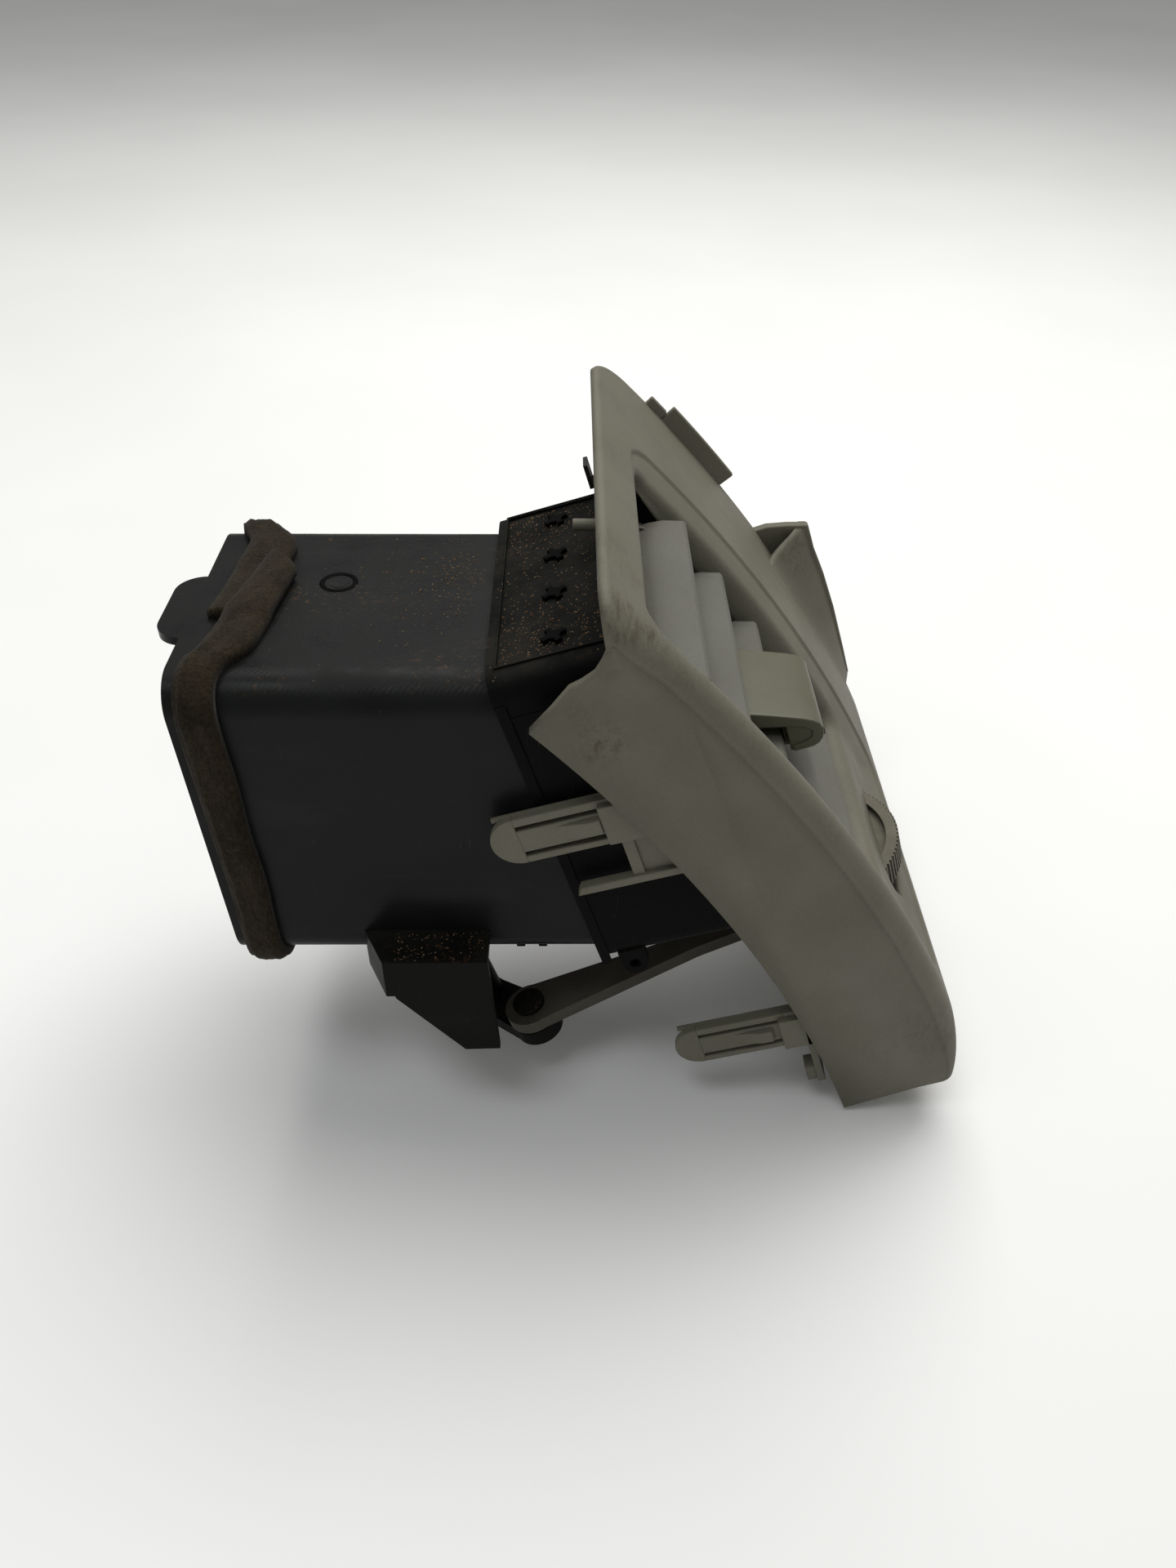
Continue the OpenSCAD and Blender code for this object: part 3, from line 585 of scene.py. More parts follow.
OPEN_S0, OPEN_S1 = s_of(45.95), s_of(31.8)
OPEN_Y = 40.0
OPEN_CORNER = 6.0
FRAME = (OPEN_S0 - 3.2, 154.0, -43.0, 50.5, 9.0)
WHEEL_S0, WHEEL_S1, WHEEL_Y = 134.6, 145.6, 17.6
NEAR_ROUND, FAR_ROUND = 5.5, 2.0
NEAR_TURN_LEN, FAR_CORNER_R = 34.0, 13.0


def near_round(s):
    return NEAR_ROUND + 5.0 * (1 - smooth(s / 24)) - 3.0 * smooth((s - 165) / (S_CHIN - 165))


def open_dist(s, y):
    return rect_dist(s, y, OPEN_S0, OPEN_S1, -OPEN_Y, OPEN_Y, OPEN_CORNER)


def depth(s, y):
    inside = -rect_dist(s, y, *FRAME)
    k = 0.85 * smooth(inside / 0.9) + 2.3 * smooth(inside / 15)
    out = open_dist(s, y)
    lip = 2.4 + 2.4 * smooth((-y - 30) / 10) * smooth((s - OPEN_S0 - 4) / 8)
    lip += 2.0 * smooth((s - OPEN_S1 + 3) / 4)
    k += round_over(out, lip)
    k += 0.6 * round_over(rect_dist(s, y, WHEEL_S0, WHEEL_S1, -WHEEL_Y, WHEEL_Y, 1.0), 1.0)
    return k + round_over(far_corner(s, y)[2], FAR_ROUND)


def grid_lines(stops):
    """stops: (from, to, step) spans joined end to end."""
    out = []
    for a, b, step in stops:
        n = max(1, round((b - a) / step))
        out += [a + (b - a) * i / n for i in range(n)]
    out.append(stops[-1][1])
    return out


def build_panel():
    ys = grid_lines([(NEAR_Y, -48.5, 0.25), (-48.5, -OPEN_Y, 0.5), (-OPEN_Y, -34, 0.75),
                     (-34, -WHEEL_Y, 2.7),
                     (-WHEEL_Y, WHEEL_Y, 2.9), (WHEEL_Y, 34, 2.7), (34, OPEN_Y, 0.75), (OPEN_Y, 44,
                             0.5), (44, 52, 0.4),
                     (52, 82, 3.0), (82, 92.5, 1.2), (92.5, FAR_Y, 0.4)])
    ss = grid_lines([(0, 2.4, 0.3), (2.4, 9.6, 0.9), (9.6, OPEN_S0, 0.4), (OPEN_S0, OPEN_S0 + 8, 0.7),
                     (OPEN_S0 + 8, OPEN_S1 - 6, 3.2),
                     (OPEN_S1 - 6, OPEN_S1 + 5, 0.6), (OPEN_S1 + 5, WHEEL_S0, 1.6), (WHEEL_S0,
                             WHEEL_S1, 1.2),
                     (WHEEL_S1, 155, 0.8), (155, S_CHIN, 2.4), (S_CHIN, S_END, 0.8), (S_END, S_FOOT,
                             3.0)])
    bm = bmesh.new()
    grid = {}
    for i, s in enumerate(ss):
        for j, y in enumerate(ys):
            d = open_dist(s, y)
            if d < -1e-6:
                # keep only what lies on or outside the opening
                continue
            sc, yc, _ = far_corner(s, y)
            grid[i, j] = bm.verts.new(skin(sc, yc, depth(s, y)))
    bm.verts.ensure_lookup_table()
    for i in range(len(ss) - 1):
        for j in range(len(ys) - 1):
            sc, yc = (ss[i] + ss[i + 1]) / 2, (ys[j] + ys[j + 1]) / 2
            if WHEEL_S0 < sc < WHEEL_S1 and -WHEEL_Y < yc < WHEEL_Y:
                continue
            q = [grid.get((i, j)), grid.get((i + 1, j)), grid.get((i + 1, j + 1)), grid.get((i, j + 1))]
            q = [v for v in q if v is not None]
            if len(q) < 3:
                continue
            if all(abs(open_dist(ss[a], ys[b])) < 1e-6 for a, b in ((i, j), (i + 1, j), (i + 1, j + 1),
                                                                    (i, j + 1)) if (a, b) in grid):
                continue
            if len(q) == 4 and open_dist(sc, yc) < -0.05:
                continue
            bm.faces.new(q)
    # ring of the opening: its edge loop goes on inward to the housing's front
    index = {v: key for key, v in grid.items()}
    loop = [e for e in bm.edges if e.is_boundary and all(
        open_dist(ss[index[v][0]], ys[index[v][1]]) < 1.0 and v in index for v in e.verts)]
    rows = [(0.25, 1.5), (0.5, 3.2)]
    for fraction, extra in rows + [(1.0, 0.0)]:
        new = bmesh.ops.extrude_edge_only(bm, edges=loop)["geom"]
        verts = [g for g in new if isinstance(g, bmesh.types.BMVert)]
        for v in verts:
            x, y, z = v.co / MM
            b = (x - HEAD_X) * CT + (z - HEAD_Z) * ST
            m = -(x - HEAD_X) * ST + (z - HEAD_Z) * CT
            if fraction == 1.0:
                m = max(-46.6, min(46.6, m))
                y = max(-39.6, min(39.6, y))
                b = front_b(m) - 0.2
            else:
                goal = front_b(max(-46.6, min(46.6, m)))
                b -= min(extra, max(0.0, (b - goal) * 0.6))
                y *= 1 - 0.004 * extra
            v.co = head(b, y, m)
        loop = [g for g in new if isinstance(g, bmesh.types.BMEdge)]
        loop = [e for e in loop if e.is_boundary]
    bmesh.ops.remove_doubles(bm, verts=bm.verts, dist=0.00001)
    me = bpy.data.meshes.new("panel_skin")
    bm.to_mesh(me)
    bm.free()
    ob = bpy.data.objects.new("panel_skin", me)
    bpy.context.scene.collection.objects.link(ob)
    finish_mesh(ob, M_PANEL, "housing", "panel_plastic")
    return ob


panel = build_panel()
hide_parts("face_panel")
th = panel.modifiers.new("thickness", "SOLIDIFY")
th.thickness = 0.0022
th.offset = -1.0

# near flank: a flat plate whose face edge meets the rounded edge of the skin
flank = []
for i in range(70):
    s = 0.3 + (S_END - 0.3) * i / 69
    px, pz = profile(s)[0]
    dx, dz = near_turn(s)
    k = near_round(s)
    k = min(k, CORNER_R - 0.6) if s > S_CHIN else k
    flank.append((px + k * dx, pz + k * dz))
flank += [(CORNER_OUT[0] - 1.1, CORNER_OUT[1] + 2.0), FLANK_FOOT]
flank += arc2(*FLANK_C, FLANK_R, 21.3, 44.8, 40)
flank += [(81.8, 45.1), (85.6, 50.4), (88.3, 52.0), (91.1, 54.3), (92.6, 57.2), (93.6, 60.0)]
solid("panel_flank", flank, side_on, NEAR_Y, NEAR_Y + 2.4, M_PANEL, "panel_plastic", bevel=0.0)


# ---------------------------------------------------------------- panel fittings
def clip_tower(tag, db, dm):
    """A snap tower behind the near flank: a round-nosed plate with two slots and a barb between them."""
    b0, m0 = -29 + db, 5 + dm
    y0, y1 = -46.0, -43.8
    nose = arc2(b0 + 7, m0, 7, 90, 270, 14)
    parts = [solid(f"{tag}_nose", nose + [(b0 + 7.3, m0 - 7), (b0 + 7.3, m0 + 7)], head_side, y0, y1,
                   M_PANEL, "panel_plastic", bevel=0.4)]
    for j, (lo, hi) in enumerate(((-7, -5), (-3.6, 3.2), (4.6, 7))):
        end = 47 if tag == "clip_upper" else 46
        parts.append(solid(f"{tag}_strip_{j}", [(b0 + 7.2, m0 + lo), (b0 + 31.8, m0 + lo),
                                                (b0 + 31.8, m0 + hi), (b0 + 7.2, m0 + hi)],
                           head_side, y0, y1, M_PANEL, "panel_plastic", bevel=0.35))
    parts.append(solid(f"{tag}_root", [(b0 + 31.7, m0 - 7), (b0 + end, m0 - 7), (b0 + end, m0 + 7),
                                       (b0 + 31.7, m0 + 7)],
                       head_side, y0, y1, M_PANEL, "panel_plastic", bevel=0.3))
    # barb: a wedge that rises towards the panel, with a step at its end
    barb = [(b0 + 15, y0 + 0.3), (b0 + 24.5, y0 - 1.5), (b0 + 27.5, y0 - 1.5), (b0 + 28.5, y0 + 0.3)]
    parts.append(solid(f"{tag}_barb", barb, lambda u, v, w: head(u, v, w), m0 - 2.2, m0 + 2.2, M_PANEL,
                       "panel_plastic", bevel=0.3))
    for j, m in enumerate((m0 + 6.4, m0 - 6.4)):
        parts.append(solid(f"{tag}_rib_{j}", [(b0 + 2, m - 0.6), (b0 + 44, m - 0.6),
                                              (b0 + 44, m + 0.6), (b0 + 2, m + 0.6)],
                           head_side, y1 - 0.2, y1 + 0.9, M_PANEL, "panel_plastic", bevel=0.2))
    return join(tag, parts)


clip_tower("clip_upper", 0, 0)
clip_tower("clip_lower", 24, -88.5)
solid("upper_clip_pad", [(-1, -1), (17, -1), (17, 11), (-1, 11)], head_side, -47.7, -45.9, M_PANEL,
      "panel_plastic")
solid("lower_clip_pad", [(25, -90), (41, -90), (41, -78), (25, -78)], head_side, -47.7, -45.9, M_PANEL,
      "panel_plastic")
solid("clip_shelf", [(-13.6, -16.4), (-12.2, -13.9), (22, -13.9), (22, -16.4)], head_side, -46.4,
      -43.4, M_PANEL, "panel_plastic", bevel=0.45)
solid("clip_web", [(1.5, -14.2), (4.5, -14.2), (4.5, -1.2), (1.5, -1.2)], head_side, -45.6, -43.9,
      M_PANEL, "panel_plastic", bevel=0.2)
solid("clip_panel_web", [(4.4, -14.2), (19, -14.2), (19, -1), (4.4, -1)], head_side, -44.9, -43.9,
      M_PANEL, "panel_plastic", bevel=0.2)
solid("flank_post", [(31.4, -107), (33.6, -107), (33.6, -74), (31.4, -74)], head_side, -47.7, -40.2,
      M_PANEL, "panel_plastic", bevel=0.35)
solid("flank_post_foot", [(28.6, -107), (31.5, -107), (31.5, -101), (28.6, -101)], head_side, -46.8,
      -42, M_PANEL, "panel_plastic", bevel=0.3)

# far edge: two fins, the turned-in rim and the ear with its open pocket
for tag, a0, a1, proud in (("far_tab_long", 44.15, 40.25, 5.2), ("far_tab_step", 45.1, 44.2, 2.6)):
    pts = [(profile(s_of(a0 + (a1 - a0) * i / 8))) for i in range(9)]
    outline = [(p[0] + proud * n[0], p[1] + proud * n[1]) for p,
               n in pts] + [(p[0] - 1.5 * n[0], p[1] - 1.5 * n[1]) for p, n in reversed(pts)]
    solid(tag, outline, side_on, FAR_Y - 2.3, FAR_Y - 0.3, M_PANEL, "panel_plastic", bevel=0.45)
rim_start = FAR_CORNER_R + 1
rim_pts = [profile(rim_start + (LEN_FACE - rim_start) * i / 30) for i in range(31)]
rim_pts += [profile(LEN_FACE + LEN_CHIN * i / 12) for i in range(1, 13)]
rim = [(p[0] - 2.2 * n[0], p[1] - 2.2 * n[1]) for p,
       n in rim_pts] + [(p[0] - 8 * n[0], p[1] - 8 * n[1]) for p, n in reversed(rim_pts)]
solid("far_rim", rim, side_on, FAR_Y - 2.4, FAR_Y - 0.1, M_PANEL, "panel_plastic", bevel=0.2)
EAR = [(149.4, 15.8), (156, 16.4), (163, 16.5), (166, 8), (170.5, -1.5), (175.5, -14), (181, -30),
       (184.6, -41)]
ear_in = [profile(s_of(a)) for a in (29.6, 30.6, 31.8, 33, 34.2, 35.4, 36.6, 37.6)]
ear_base = [(p[0] - 1.6 * n[0], p[1] - 1.6 * n[1]) for p, n in ear_in]
solid("ear_wall", EAR + ear_base, side_on, FAR_Y - 2.4, FAR_Y + 0.8, M_PANEL, "panel_plastic",
      bevel=0.6)


def ear_blend():
    """The face swells out to the ear: a surface from the face to the ear's rim, hollow at its top."""
    verts, faces = [], []
    n, w = 26, 10
    start, end = s_of(36.6), s_of(28.4)
    edge = [Vector(p) for p in EAR]
    lengths = [0.0]
    for a, b in zip(edge, edge[1:]):
        lengths.append(lengths[-1] + (b - a).length)

    def on_edge(t):
        d = t * lengths[-1]
        for i in range(len(edge) - 1):
            if d <= lengths[i + 1] + 1e-9:
                f = (d - lengths[i]) / (lengths[i + 1] - lengths[i])
                return edge[i].lerp(edge[i + 1], f)
        return edge[-1]
    for i in range(n + 1):
        t = i / n
        s = start + (end - start) * t
        p, nn = profile(s)
        p = Vector(p)
        outer = on_edge(0.14 + 0.86 * t)
        width = 15.5 - 4.0 * t
        for j in range(w + 1):
            f = j / w
            lift = smooth(f) ** 1.25
            q = p.lerp(outer, lift)
            verts.append(row(q.x - 0.25 * nn[0] * (1 - f), FAR_Y - width * (1 - f) + 0.6 * f,
                             q.y - 0.25 * nn[1] * (1 - f)))
    for i in range(n):
        for j in range(w):
            a = i * (w + 1) + j
            faces.append((a, a + 1, a + w + 2, a + w + 1))
    ob = make_object("ear_swell", verts, faces, M_PANEL, "housing", "panel_plastic")
    sd = ob.modifiers.new("thickness", "SOLIDIFY")
    sd.thickness = 0.0016
    sd.offset = -1.0
    return ob


ear_blend()
# small locating pin behind the top strip
LOCATOR_Y, LOCATOR_Z = 8, 59.6
LOCATOR_TIP, LOCATOR_SEAT, LOCATOR_ROOT = 86.4, 96.8, 99.4
solid("locator_pin", arc2(LOCATOR_Y, LOCATOR_Z, 1.5, 0, 345, 23), lambda u, v, w: row(w, u, v),
      LOCATOR_TIP, LOCATOR_ROOT, M_PANEL, "panel_plastic", bevel=0.3)
solid("locator_seat", arc2(LOCATOR_Y, LOCATOR_Z, 2.7, 0, 345, 23), lambda u, v, w: row(w, u, v),
      LOCATOR_SEAT, LOCATOR_ROOT, M_PANEL, "panel_plastic", bevel=0.2)

# ---------------------------------------------------------------- knob
def build_knob():
    """A worn grip: its top slopes to a thick rounded lip, with a parting line round the lip."""
    pb, pm = vane_pivot(3)
    y_mid, half = -4.0, 15.0
    prof = [(0.2, 6.2), (1.4, 8.2), (3.2, 9.5), (5.2, 9.7), (8, 8.7), (12, 7.1), (16, 5.4), (19, 4.1),
            (21.4, 2.8), (22.9, 1.3),
            (23.5, -0.4), (23.4, -2.0), (22.9, -3.4), (21.8, -4.7), (20.2, -5.4), (17.5, -5.6), (15,
                    -5.6),
            (15, -3.9), (18.4, -3.4), (20.4, -2.2), (20.7, -0.4), (19, 1.4), (10, 4.1), (4.0,
                    5.3), (0.6, 5.4)]
    n = len(prof)
    cx = sum(p[0] for p in prof) / n
    cy = sum(p[1] for p in prof) / n
    rows = [(-1, 0.93), (-0.985, 0.975), (-0.95, 0.995)] + [(-0.9 + 1.8 * i / 14,
                                                             1.0) for i in range(15)] + [(0.95, 0.995),
                                                                     (0.985, 0.975), (1, 0.93)]
    verts, faces = [], []
    for f, scale in rows:
        for u, v in prof:
            du, dv = (u - cx) * (scale - 1) * 0.35, (v - cy) * (scale - 1) * 0.6
            crown = 0.35 * (1 - f * f) if v > 4 else 0.0
            verts.append(head(pb + u + du, y_mid + half * f, pm + v + dv + crown - 0.2))
    for r in range(len(rows) - 1):
        for i in range(n):
            a, b = r * n + i, r * n + (i + 1) % n
            faces.append((a, b, b + n, a + n))
    faces.append(tuple(range(n)))
    faces.append(tuple(range(len(verts) - 1, len(verts) - n - 1, -1)))
    ob = make_object("knob_grip", verts, faces, M_KNOB, "knob", "knob_plastic")
    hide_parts("knob_cap")
    add_bevel(ob, 0.45, 3, 40)
    # closed ends of the lip
    end = [(14.3, 5.6), (19, 4.0), (21.3, 2.7), (22.7, 1.2), (23.3, -0.4), (23.2, -2.0), (22.7, -3.3),
           (21.6, -4.5), (20.1, -5.2), (14.3, -5.4)]
    for k, f in enumerate((-1, 1)):
        lo, hi = sorted((y_mid + f * (half - 0.35), y_mid + f * (half - 2.2)))
        solid(f"knob_end_{k}", end, lambda u, v, w: head(pb + u, w, pm + v - 0.2), lo, hi, M_KNOB,
              "knob_plastic", body="knob", bevel=0.4)
    # double parting line round the lip
    for tag, v0 in (("knob_seam_upper", -1.35), ("knob_seam_lower", -2.35)):
        outline = [(21.3, v0), (23.62, v0), (23.62, v0 - 0.28), (21.3, v0 - 0.28)]
        solid(tag, outline, lambda u, v, w: head(pb + u, w, pm + v), y_mid - half + 0.4,
              y_mid + half - 0.4, M_PAD, "knob_plastic", body="knob", bevel=0.0)


build_knob()


# ---------------------------------------------------------------- foam
def foam_block(name, lo, hi, place, body, replaces, seed, cell=1.6, lump=0.25):
    """A foam slab: its faces are divided, rounded at the edges and uneven like cut foam."""
    dims = [hi[i] - lo[i] for i in range(3)]
    cuts = [max(2, min(46, round(d / cell))) for d in dims]
    bm = bmesh.new()
    seen = {}

    def vert(i, j, k):
        key = (i, j, k)
        if key not in seen:
            f = [i / cuts[0], j / cuts[1], k / cuts[2]]
            p = [lo[a] + dims[a] * f[a] for a in range(3)]
            q = Vector((p[0] * 0.35 + seed, p[1] * 0.35, p[2] * 0.35))
            edge = sum(1 for a in range(3) if f[a] in (0.0, 1.0))
            mid = [(lo[a] + hi[a]) / 2 for a in range(3)]
            pull = (0.0, 0.02, 0.22, 0.4)[edge] * min(dims)
            for a in range(3):
                if f[a] in (0.0, 1.0):
                    uneven = 0.5 + 0.5 * noise.noise(q + Vector((a * 9.1, 0, 0)))
                    p[a] += (mid[a] - p[a]) / abs(mid[a] - p[a]) * (pull + lump * uneven)
            seen[key] = bm.verts.new(place(*p))
        return seen[key]
    a, b, c = cuts
    for i in range(a):
        for j in range(b):
            for k in (0, c):
                bm.faces.new([vert(i, j, k), vert(i + 1, j, k), vert(i + 1, j + 1, k),
                              vert(i, j + 1, k)])
    for i in range(a):
        for k in range(c):
            for j in (0, b):
                bm.faces.new([vert(i, j, k), vert(i + 1, j, k), vert(i + 1, j, k + 1),
                              vert(i, j, k + 1)])
    for j in range(b):
        for k in range(c):
            for i in (0, a):
                bm.faces.new([vert(i, j, k), vert(i, j + 1, k), vert(i, j + 1, k + 1),
                              vert(i, j, k + 1)])
    me = bpy.data.meshes.new(name)
    bm.to_mesh(me)
    bm.free()
    ob = bpy.data.objects.new(name, me)
    bpy.context.scene.collection.objects.link(ob)
    finish_mesh(ob, M_FOAM_DARK, body, "foam")
    if replaces:
        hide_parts(replaces)
    return ob


for tag, side in (("near", -1), ("far", 1)):
    body = f"{tag}_damper"
    for n_b, (b_lo, b_hi) in enumerate(((-18.2, -3.3), (3.3, 18.2))):
        for n_y, (y_lo, y_hi) in enumerate(((-2.6, -1.0), (1.0, 2.6))):
            foam_block(f"{tag}_blade_foam_{n_b}{n_y}", (b_lo, y_lo, -23.7), (b_hi, y_hi, 49.5),
                       lambda u, v, w, s=side: head(DAMPER_B + u, s * DAMPER_Y + v, w), body,
                       f"{tag}_damper_foam", 3.1 * n_b + 7.7 * n_y + side, cell=1.5, lump=0.15)


def build_seal():
    """The inlet seal: one foam strip round the duct, crossing the top at a slant with lapped ends."""
    w2, h2, r = DUCT_HALF_W, DUCT_HALF_H, DUCT_R
    lean = math.tan(math.radians(2.7))
    path = []

    def corner(cy, cz, a0, a1):
        for i in range(9):
            a = math.radians(a0 + (a1 - a0) * i / 8)
            path.append((cy + r * math.cos(a), cz + r * math.sin(a), math.cos(a), math.sin(a)))

    def run(y0, z0, y1, z1, ny, nz, n):
        for i in range(1, n):
            path.append((y0 + (y1 - y0) * i / n, z0 + (z1 - z0) * i / n, ny, nz))
    # one strip: it starts on the top, goes over the near corner, round, and laps under its own start
    run(14.5, h2, -(w2 - r), h2, 0, 1, 30)
    first = len(path)
    corner(-(w2 - r), h2 - r, 90, 180)
    run(-w2, h2 - r, -w2, -(h2 - r), -1, 0, 36)
    corner(-(w2 - r), -(h2 - r), 180, 270)
    run(-(w2 - r), -h2, w2 - r, -h2, 0, -1, 32)
    corner(w2 - r, -(h2 - r), 270, 360)
    run(w2, -(h2 - r), w2, h2 - r, 1, 0, 36)
    corner(w2 - r, h2 - r, 0, 90)
    last = len(path)
    run(w2 - r, h2, -13, h2, 0, 1, 26)
    total = len(path)
    across, thick = 14, 4.0
    rings = []
    for i, (y, z, ny, nz) in enumerate(path):
        q = Vector((i * 0.11, 3.7, 0.5))
        x0, wd, lift, high, skew = -1.0 - z * lean, 9.0, 0.0, thick, 0.0
        if i < first:
            x0 = np.interp(y, (-31, -10, 14.5), (0.4, 3.6, 9.9))
            wd = np.interp(y, (-31, -10, 14.5), (11.6, 11.0, 7.2))
            lift = 1.7 * smooth((y + 17) / 8)
            high = thick - 0.6 * smooth((y + 17) / 8)
            skew = 9.0 * smooth((y + 8) / 22)
        elif i >= last:
            x0 = np.interp(y, (-13, 31), (-1.4, 3.0))
            wd = 12.2
            high = thick - 0.8 * smooth((16 - y) / 6)
            skew = 2.0 * smooth((-y - 2) / 10)
        x0 += 0.5 * noise.noise(q)
        wd += 0.6 * noise.noise(q + Vector((0, 8, 0)))
        ring = []
        for j in range(across + 1):
            f = j / across
            edge = min(f, 1 - f) * 2
            h = high * (0.72 + 0.28 * smooth(edge * 2.2)) + 0.35 * noise.noise(Vector((i * 0.35,
                    j * 0.5, 2.0))) - 0.15
            h = min(h, high) + lift
            ring.append((x0 + wd * f, y + ny * h + skew * (0.5 - f), z + nz * h))
        for j in range(across, -1, -1):
            f = j / across
            h = 0.02 + lift * 0.8
            ring.append((x0 + wd * f, y + ny * h + skew * (0.5 - f), z + nz * h))
        rings.append(ring)
    # ease the path's x so that the slanted top meets the sides without a jump
    xs = np.array([[p[0] for p in ring] for ring in rings])
    for _ in range(10):
        xs[1:-1] = (xs[:-2] + 2 * xs[1:-1] + xs[2:]) / 4
    verts, faces = [], []
    m = len(rings[0])
    for i, ring in enumerate(rings):
        for j, p in enumerate(ring):
            verts.append(row(xs[i][j], p[1], p[2]))
    for i in range(total - 1):
        for j in range(m):
            a, b = i * m + j, i * m + (j + 1) % m
            faces.append((a, b, b + m, a + m))
    faces.append(tuple(range(m)))
    faces.append(tuple(range(len(verts) - 1, len(verts) - m - 1, -1)))
    ob = make_object("inlet_seal_strip", verts, faces, M_FOAM, "housing", "foam")
    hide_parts("inlet_foam_seal")


build_seal()


# ---------------------------------------------------------------- housing details
def star(name, y, m, mat):
    """A snap-in pivot's cross-shaped slot round the pin's end, drawn as a thin raised cross; in its
    near-black material it is painted shade for the dark inside the slot.
    """
    pts = []
    for i in range(4):
        a = math.tau * (i + 0.3) / 4
        for da, r in ((-0.38, 1.9), (-0.3, 3.3), (0.3, 3.3), (0.38, 1.9)):
            pts.append((r * math.cos(a + da), y + r * math.sin(a + da)))
    return solid(name, pts, head_plan, m, m + 1.1, mat, "black_plastic", bevel=0.3)


# near-black pivot material: painted shade standing in for the dark inside the star-shaped slots; the gate
# ring is drawn in it too
M_STAR = black_plastic("pivot_dark", (0.0018, 0.0018, 0.0018), (0.003, 0.003, 0.003), 0.5, 0.04,
                       gloss=0.03)
for i in range(4):
    star(f"pivot_star_{i}", -28.5 + 19 * i, 47.2, M_STAR)


def ring_mark(name, x, y, z, r, w, mat, part=360.0, start=0.0):
    n = 40
    verts, faces = [], []
    count = n if part >= 360 else n + 1
    for i in range(count):
        a = math.radians(start + part * i / n)
        for rr, h in ((r - w, 0.0), (r - w * 0.6, 0.28), (r + w * 0.6, 0.28), (r + w, 0.0)):
            verts.append(row(x + rr * math.cos(a), y + rr * math.sin(a), z + h))
    for i in range(n):
        a, b = i * 4, ((i + 1) % count) * 4
        for j in range(3):
            faces.append((a + j, a + j + 1, b + j + 1, b + j))
    return make_object(name, verts, faces, mat, "housing", "black_plastic")


ring_mark("gate_ring", 27.4, 7, 44.0, 4.2, 0.7, M_STAR)
gate = arc2(27.4, 7, 2.6, 0, 350, 24)
solid("gate_disc", gate, row, 43.95, 44.12, M_DUCT, "black_plastic", bevel=0.05)

# raised edges of the recess in the housing's top, and the step line on its near side
for k, (b0, b1, y0, y1) in enumerate(((-13.9, -13.3, -36.5, 36.5), (-13.9, 12, -36.6, -36.0),
                                      (-13.9, 12, 36.0, 36.6))):
    solid(f"recess_edge_{k}", [(b0, y0), (b1, y0), (b1, y1), (b0, y1)], head_plan, 47.9, 48.25,
          M_HOUSING, "black_plastic", bevel=0.12)
solid("near_step", [(-15.9, 36.6), (23, 36.6), (23, 37.4), (-15.9, 37.4)], head_side, -41.8, -41.4,
      M_HOUSING, "black_plastic", bevel=0.15)
solid("near_rear_band", [(-15.9, -47), (-13.2, -47), (-13.2, 41), (-15.9, 41)], head_side, -41.95,
      -41.4, M_HOUSING, "black_plastic", bevel=0.2)
for k, (x, h) in enumerate(((71, 2.0), (77, 2.4))):
    solid(f"duct_foot_{k}", [(x, -46.0), (x + 2.4, -46.0), (x + 2.4, -43.6), (x, -43.6)], side_on, -34,
          -34 + 5 * h, M_HOUSING, "black_plastic", bevel=0.3)


def grit(name, count, seed, place, mat):
    """Crumbs of rust and dust lying on a top surface, as many small uneven solids."""
    rng = random.Random(seed)
    verts, faces = [], []
    for _ in range(count):
        base, u, v, n = place(rng)
        r = rng.uniform(0.1, 0.34)
        k = len(verts)
        for a, b, c in ((1, 0, 0), (-0.5, 0.87, 0), (-0.5, -0.87, 0), (0, 0, 1), (0.2, -0.1, -0.6)):
            verts.append(base + (u * a + v * b + n * c) * r * rng.uniform(0.6, 1.2) * MM)
        for f in ((0, 1, 3), (1, 2, 3), (2, 0, 3), (1, 0, 4), (2, 1, 4), (0, 2, 4)):
            faces.append(tuple(k + i for i in f))
    return make_object(name, verts, faces, mat, "housing", "black_plastic", smooth=False)


def rust_material():
    mat, nt, bsdf, co = new_material("rust_crumbs")
    col = mix(nt, remap(nt, noise_tex(nt, co, 500, 3, 0.7), 0.35, 0.65), (0.13, 0.055, 0.025),
              (0.3, 0.2, 0.11))
    nt.links.new(col, bsdf.inputs["Base Color"])
    bsdf.inputs["Roughness"].default_value = 0.9
    bump(nt, bsdf, [(noise_tex(nt, co, 2500, 3), 0.4, 0.0001)])
    return mat


M_RUST = rust_material()
HEAD_B, HEAD_Y, HEAD_M = (head(1, 0, 0) - head(0, 0, 0)).normalized(), Vector((0, 1, 0)), (head(0, 0,
        1) - head(0, 0, 0)).normalized()


def on_housing(rng):
    return head(rng.uniform(-13, 14), rng.gauss(4, 18) % 70 - 35, 47.25), HEAD_B, HEAD_Y, HEAD_M


def on_duct(rng):
    x = 62 - abs(rng.gauss(0, 14))
    y = max(-28, min(30, rng.gauss(6, 14)))
    return row(x, y, 44.02), Vector((1, 0, 0)), Vector((0, 1, 0)), Vector((0, 0, 1))


def on_guard(rng):
    return row(rng.uniform(40, 64), rng.uniform(-51, -41), -32.98), Vector((1, 0, 0)), Vector((0, 1,
            0)), Vector((0, 0, 1))


grit("housing_grit", 900, 3, on_housing, M_RUST)
grit("duct_grit", 420, 5, on_duct, M_RUST)
grit("guard_grit", 120, 7, on_guard, M_RUST)

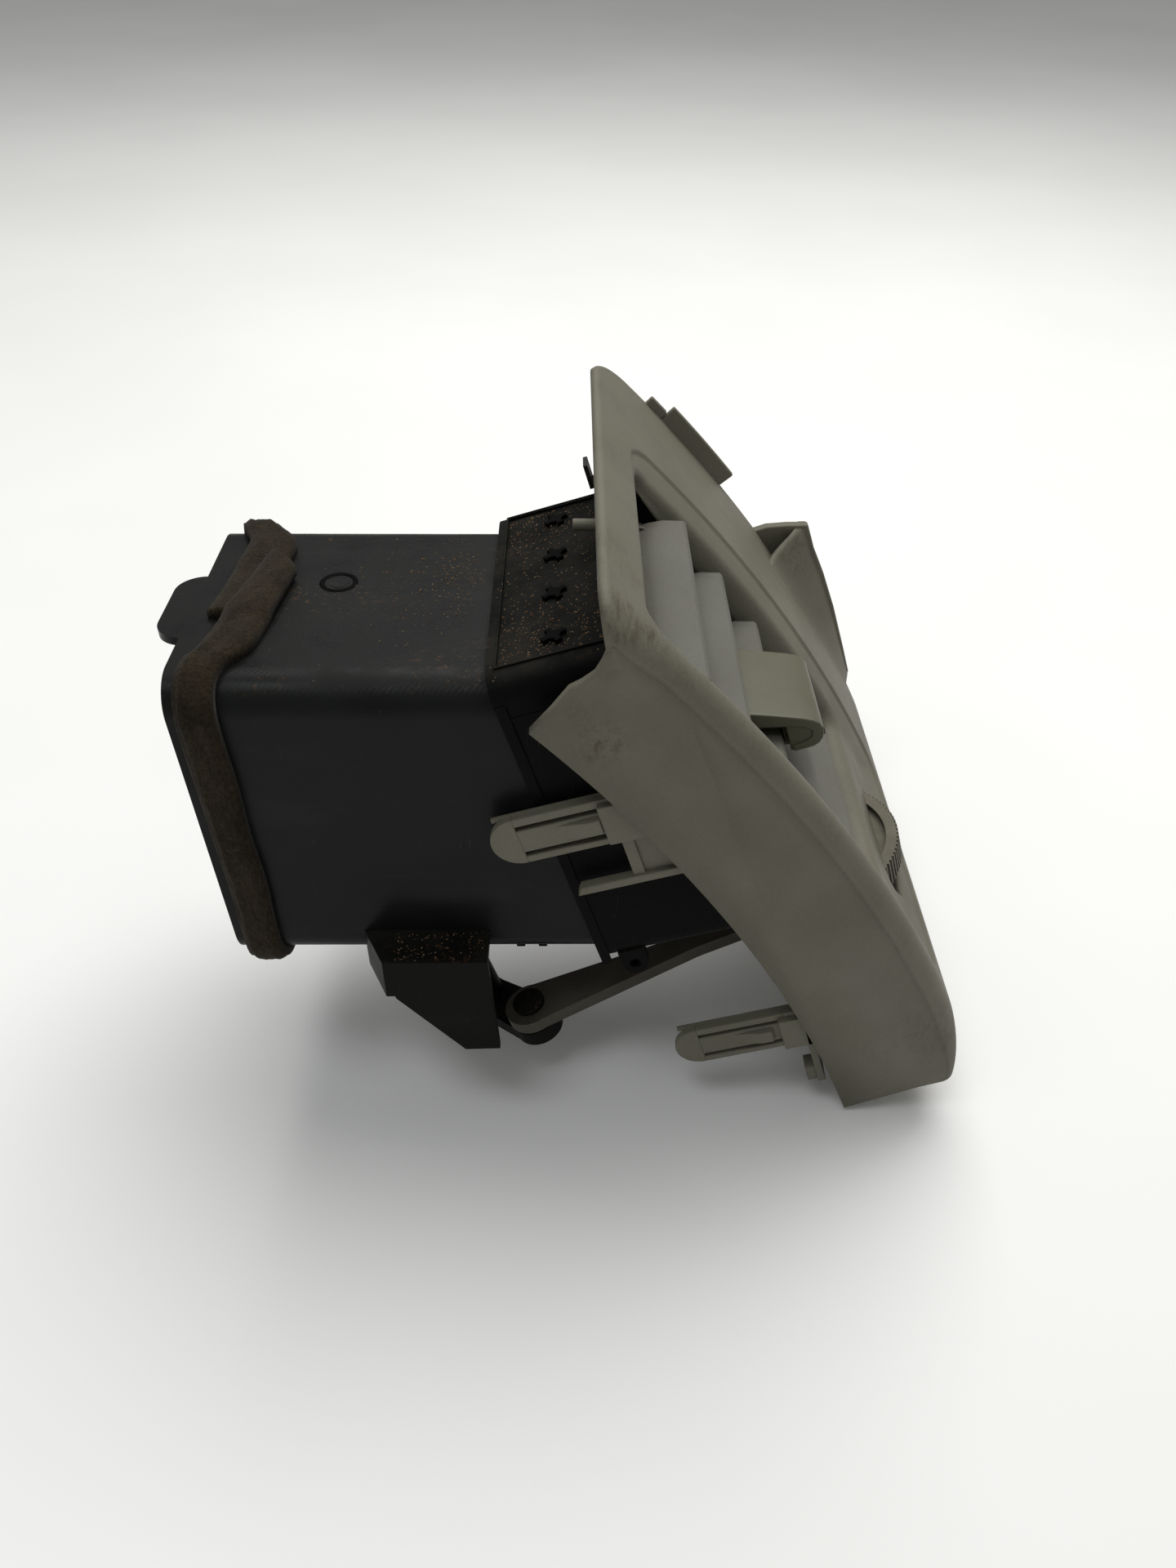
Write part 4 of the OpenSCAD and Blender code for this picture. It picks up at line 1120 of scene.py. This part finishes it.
# ---------------------------------------------------------------- floor, light, camera
def floor():
    size, z = 4.0, -0.0995
    me = bpy.data.meshes.new("floor")
    me.from_pydata([(-size, -size, z), (size, -size, z), (size, size, z), (-size, size, z)], [],
                   [(0, 1, 2, 3)])
    ob = bpy.data.objects.new("floor", me)
    bpy.context.scene.collection.objects.link(ob)
    mat, nt, bsdf, co = new_material("floor_paper")
    col = mix(nt, remap(nt, noise_tex(nt, co, 3, 3), 0.3, 0.7), (0.86, 0.86, 0.855), (0.9, 0.9, 0.895))
    nt.links.new(col, bsdf.inputs["Base Color"])
    bsdf.inputs["Roughness"].default_value = 0.9
    me.materials.append(mat)


floor()
world = bpy.data.worlds.new("studio")
bpy.context.scene.world = world
world.use_nodes = True
world.node_tree.nodes["Background"].inputs[0].default_value = (1.0, 1.0, 0.985, 1)
world.node_tree.nodes["Background"].inputs[1].default_value = 0.3


def area_light(name, place, target, size, power, colour=(1, 1, 1)):
    data = bpy.data.lights.new(name, "AREA")
    data.shape = "RECTANGLE"
    data.size, data.size_y = size
    data.energy = power
    data.color = colour
    ob = bpy.data.objects.new(name, data)
    bpy.context.scene.collection.objects.link(ob)
    ob.location = place
    ob.rotation_euler = (Vector(target) - Vector(place)).to_track_quat("-Z", "Y").to_euler()


area_light("key_above", (0.3, 0.55, 1.25), (0.09, 0.02, 0), (1.3, 1.0), 19.0, (1.0, 0.995, 0.97))
area_light("corner_gleam", (-0.25, -0.35, 1.1), (0.05, 0, 0), (0.5, 0.3), 2.4, (0.95, 1.0, 1.0))

# azimuth, elevation and roll in degrees, and the place in metres, solved from the photo
CAMERA_TURN, CAMERA_PLACE = (-0.95, 39.29, 0.55), (0.08642, -0.2574, 0.1945)
cam_data = bpy.data.cameras.new("camera")
cam = bpy.data.objects.new("camera", cam_data)
bpy.context.scene.collection.objects.link(cam)
cam_data.sensor_fit = "VERTICAL"
cam_data.sensor_height = 36.0
cam_data.sensor_width = 27.0
cam_data.lens = 27.19
cam_data.clip_start = 0.01
az, el, roll = (math.radians(a) for a in CAMERA_TURN)
look = Vector((-math.sin(az) * math.cos(el), math.cos(az) * math.cos(el), -math.sin(el)))
right = Vector((math.cos(az), math.sin(az), 0))
up = right.cross(look)
right2 = right * math.cos(roll) + up * math.sin(roll)
up2 = -right * math.sin(roll) + up * math.cos(roll)
turn = Matrix((right2, up2, -look)).transposed().to_4x4()
cam.matrix_world = Matrix.Translation(CAMERA_PLACE) @ turn
bpy.context.scene.camera = cam
bpy.context.scene.view_settings.view_transform = "Standard"
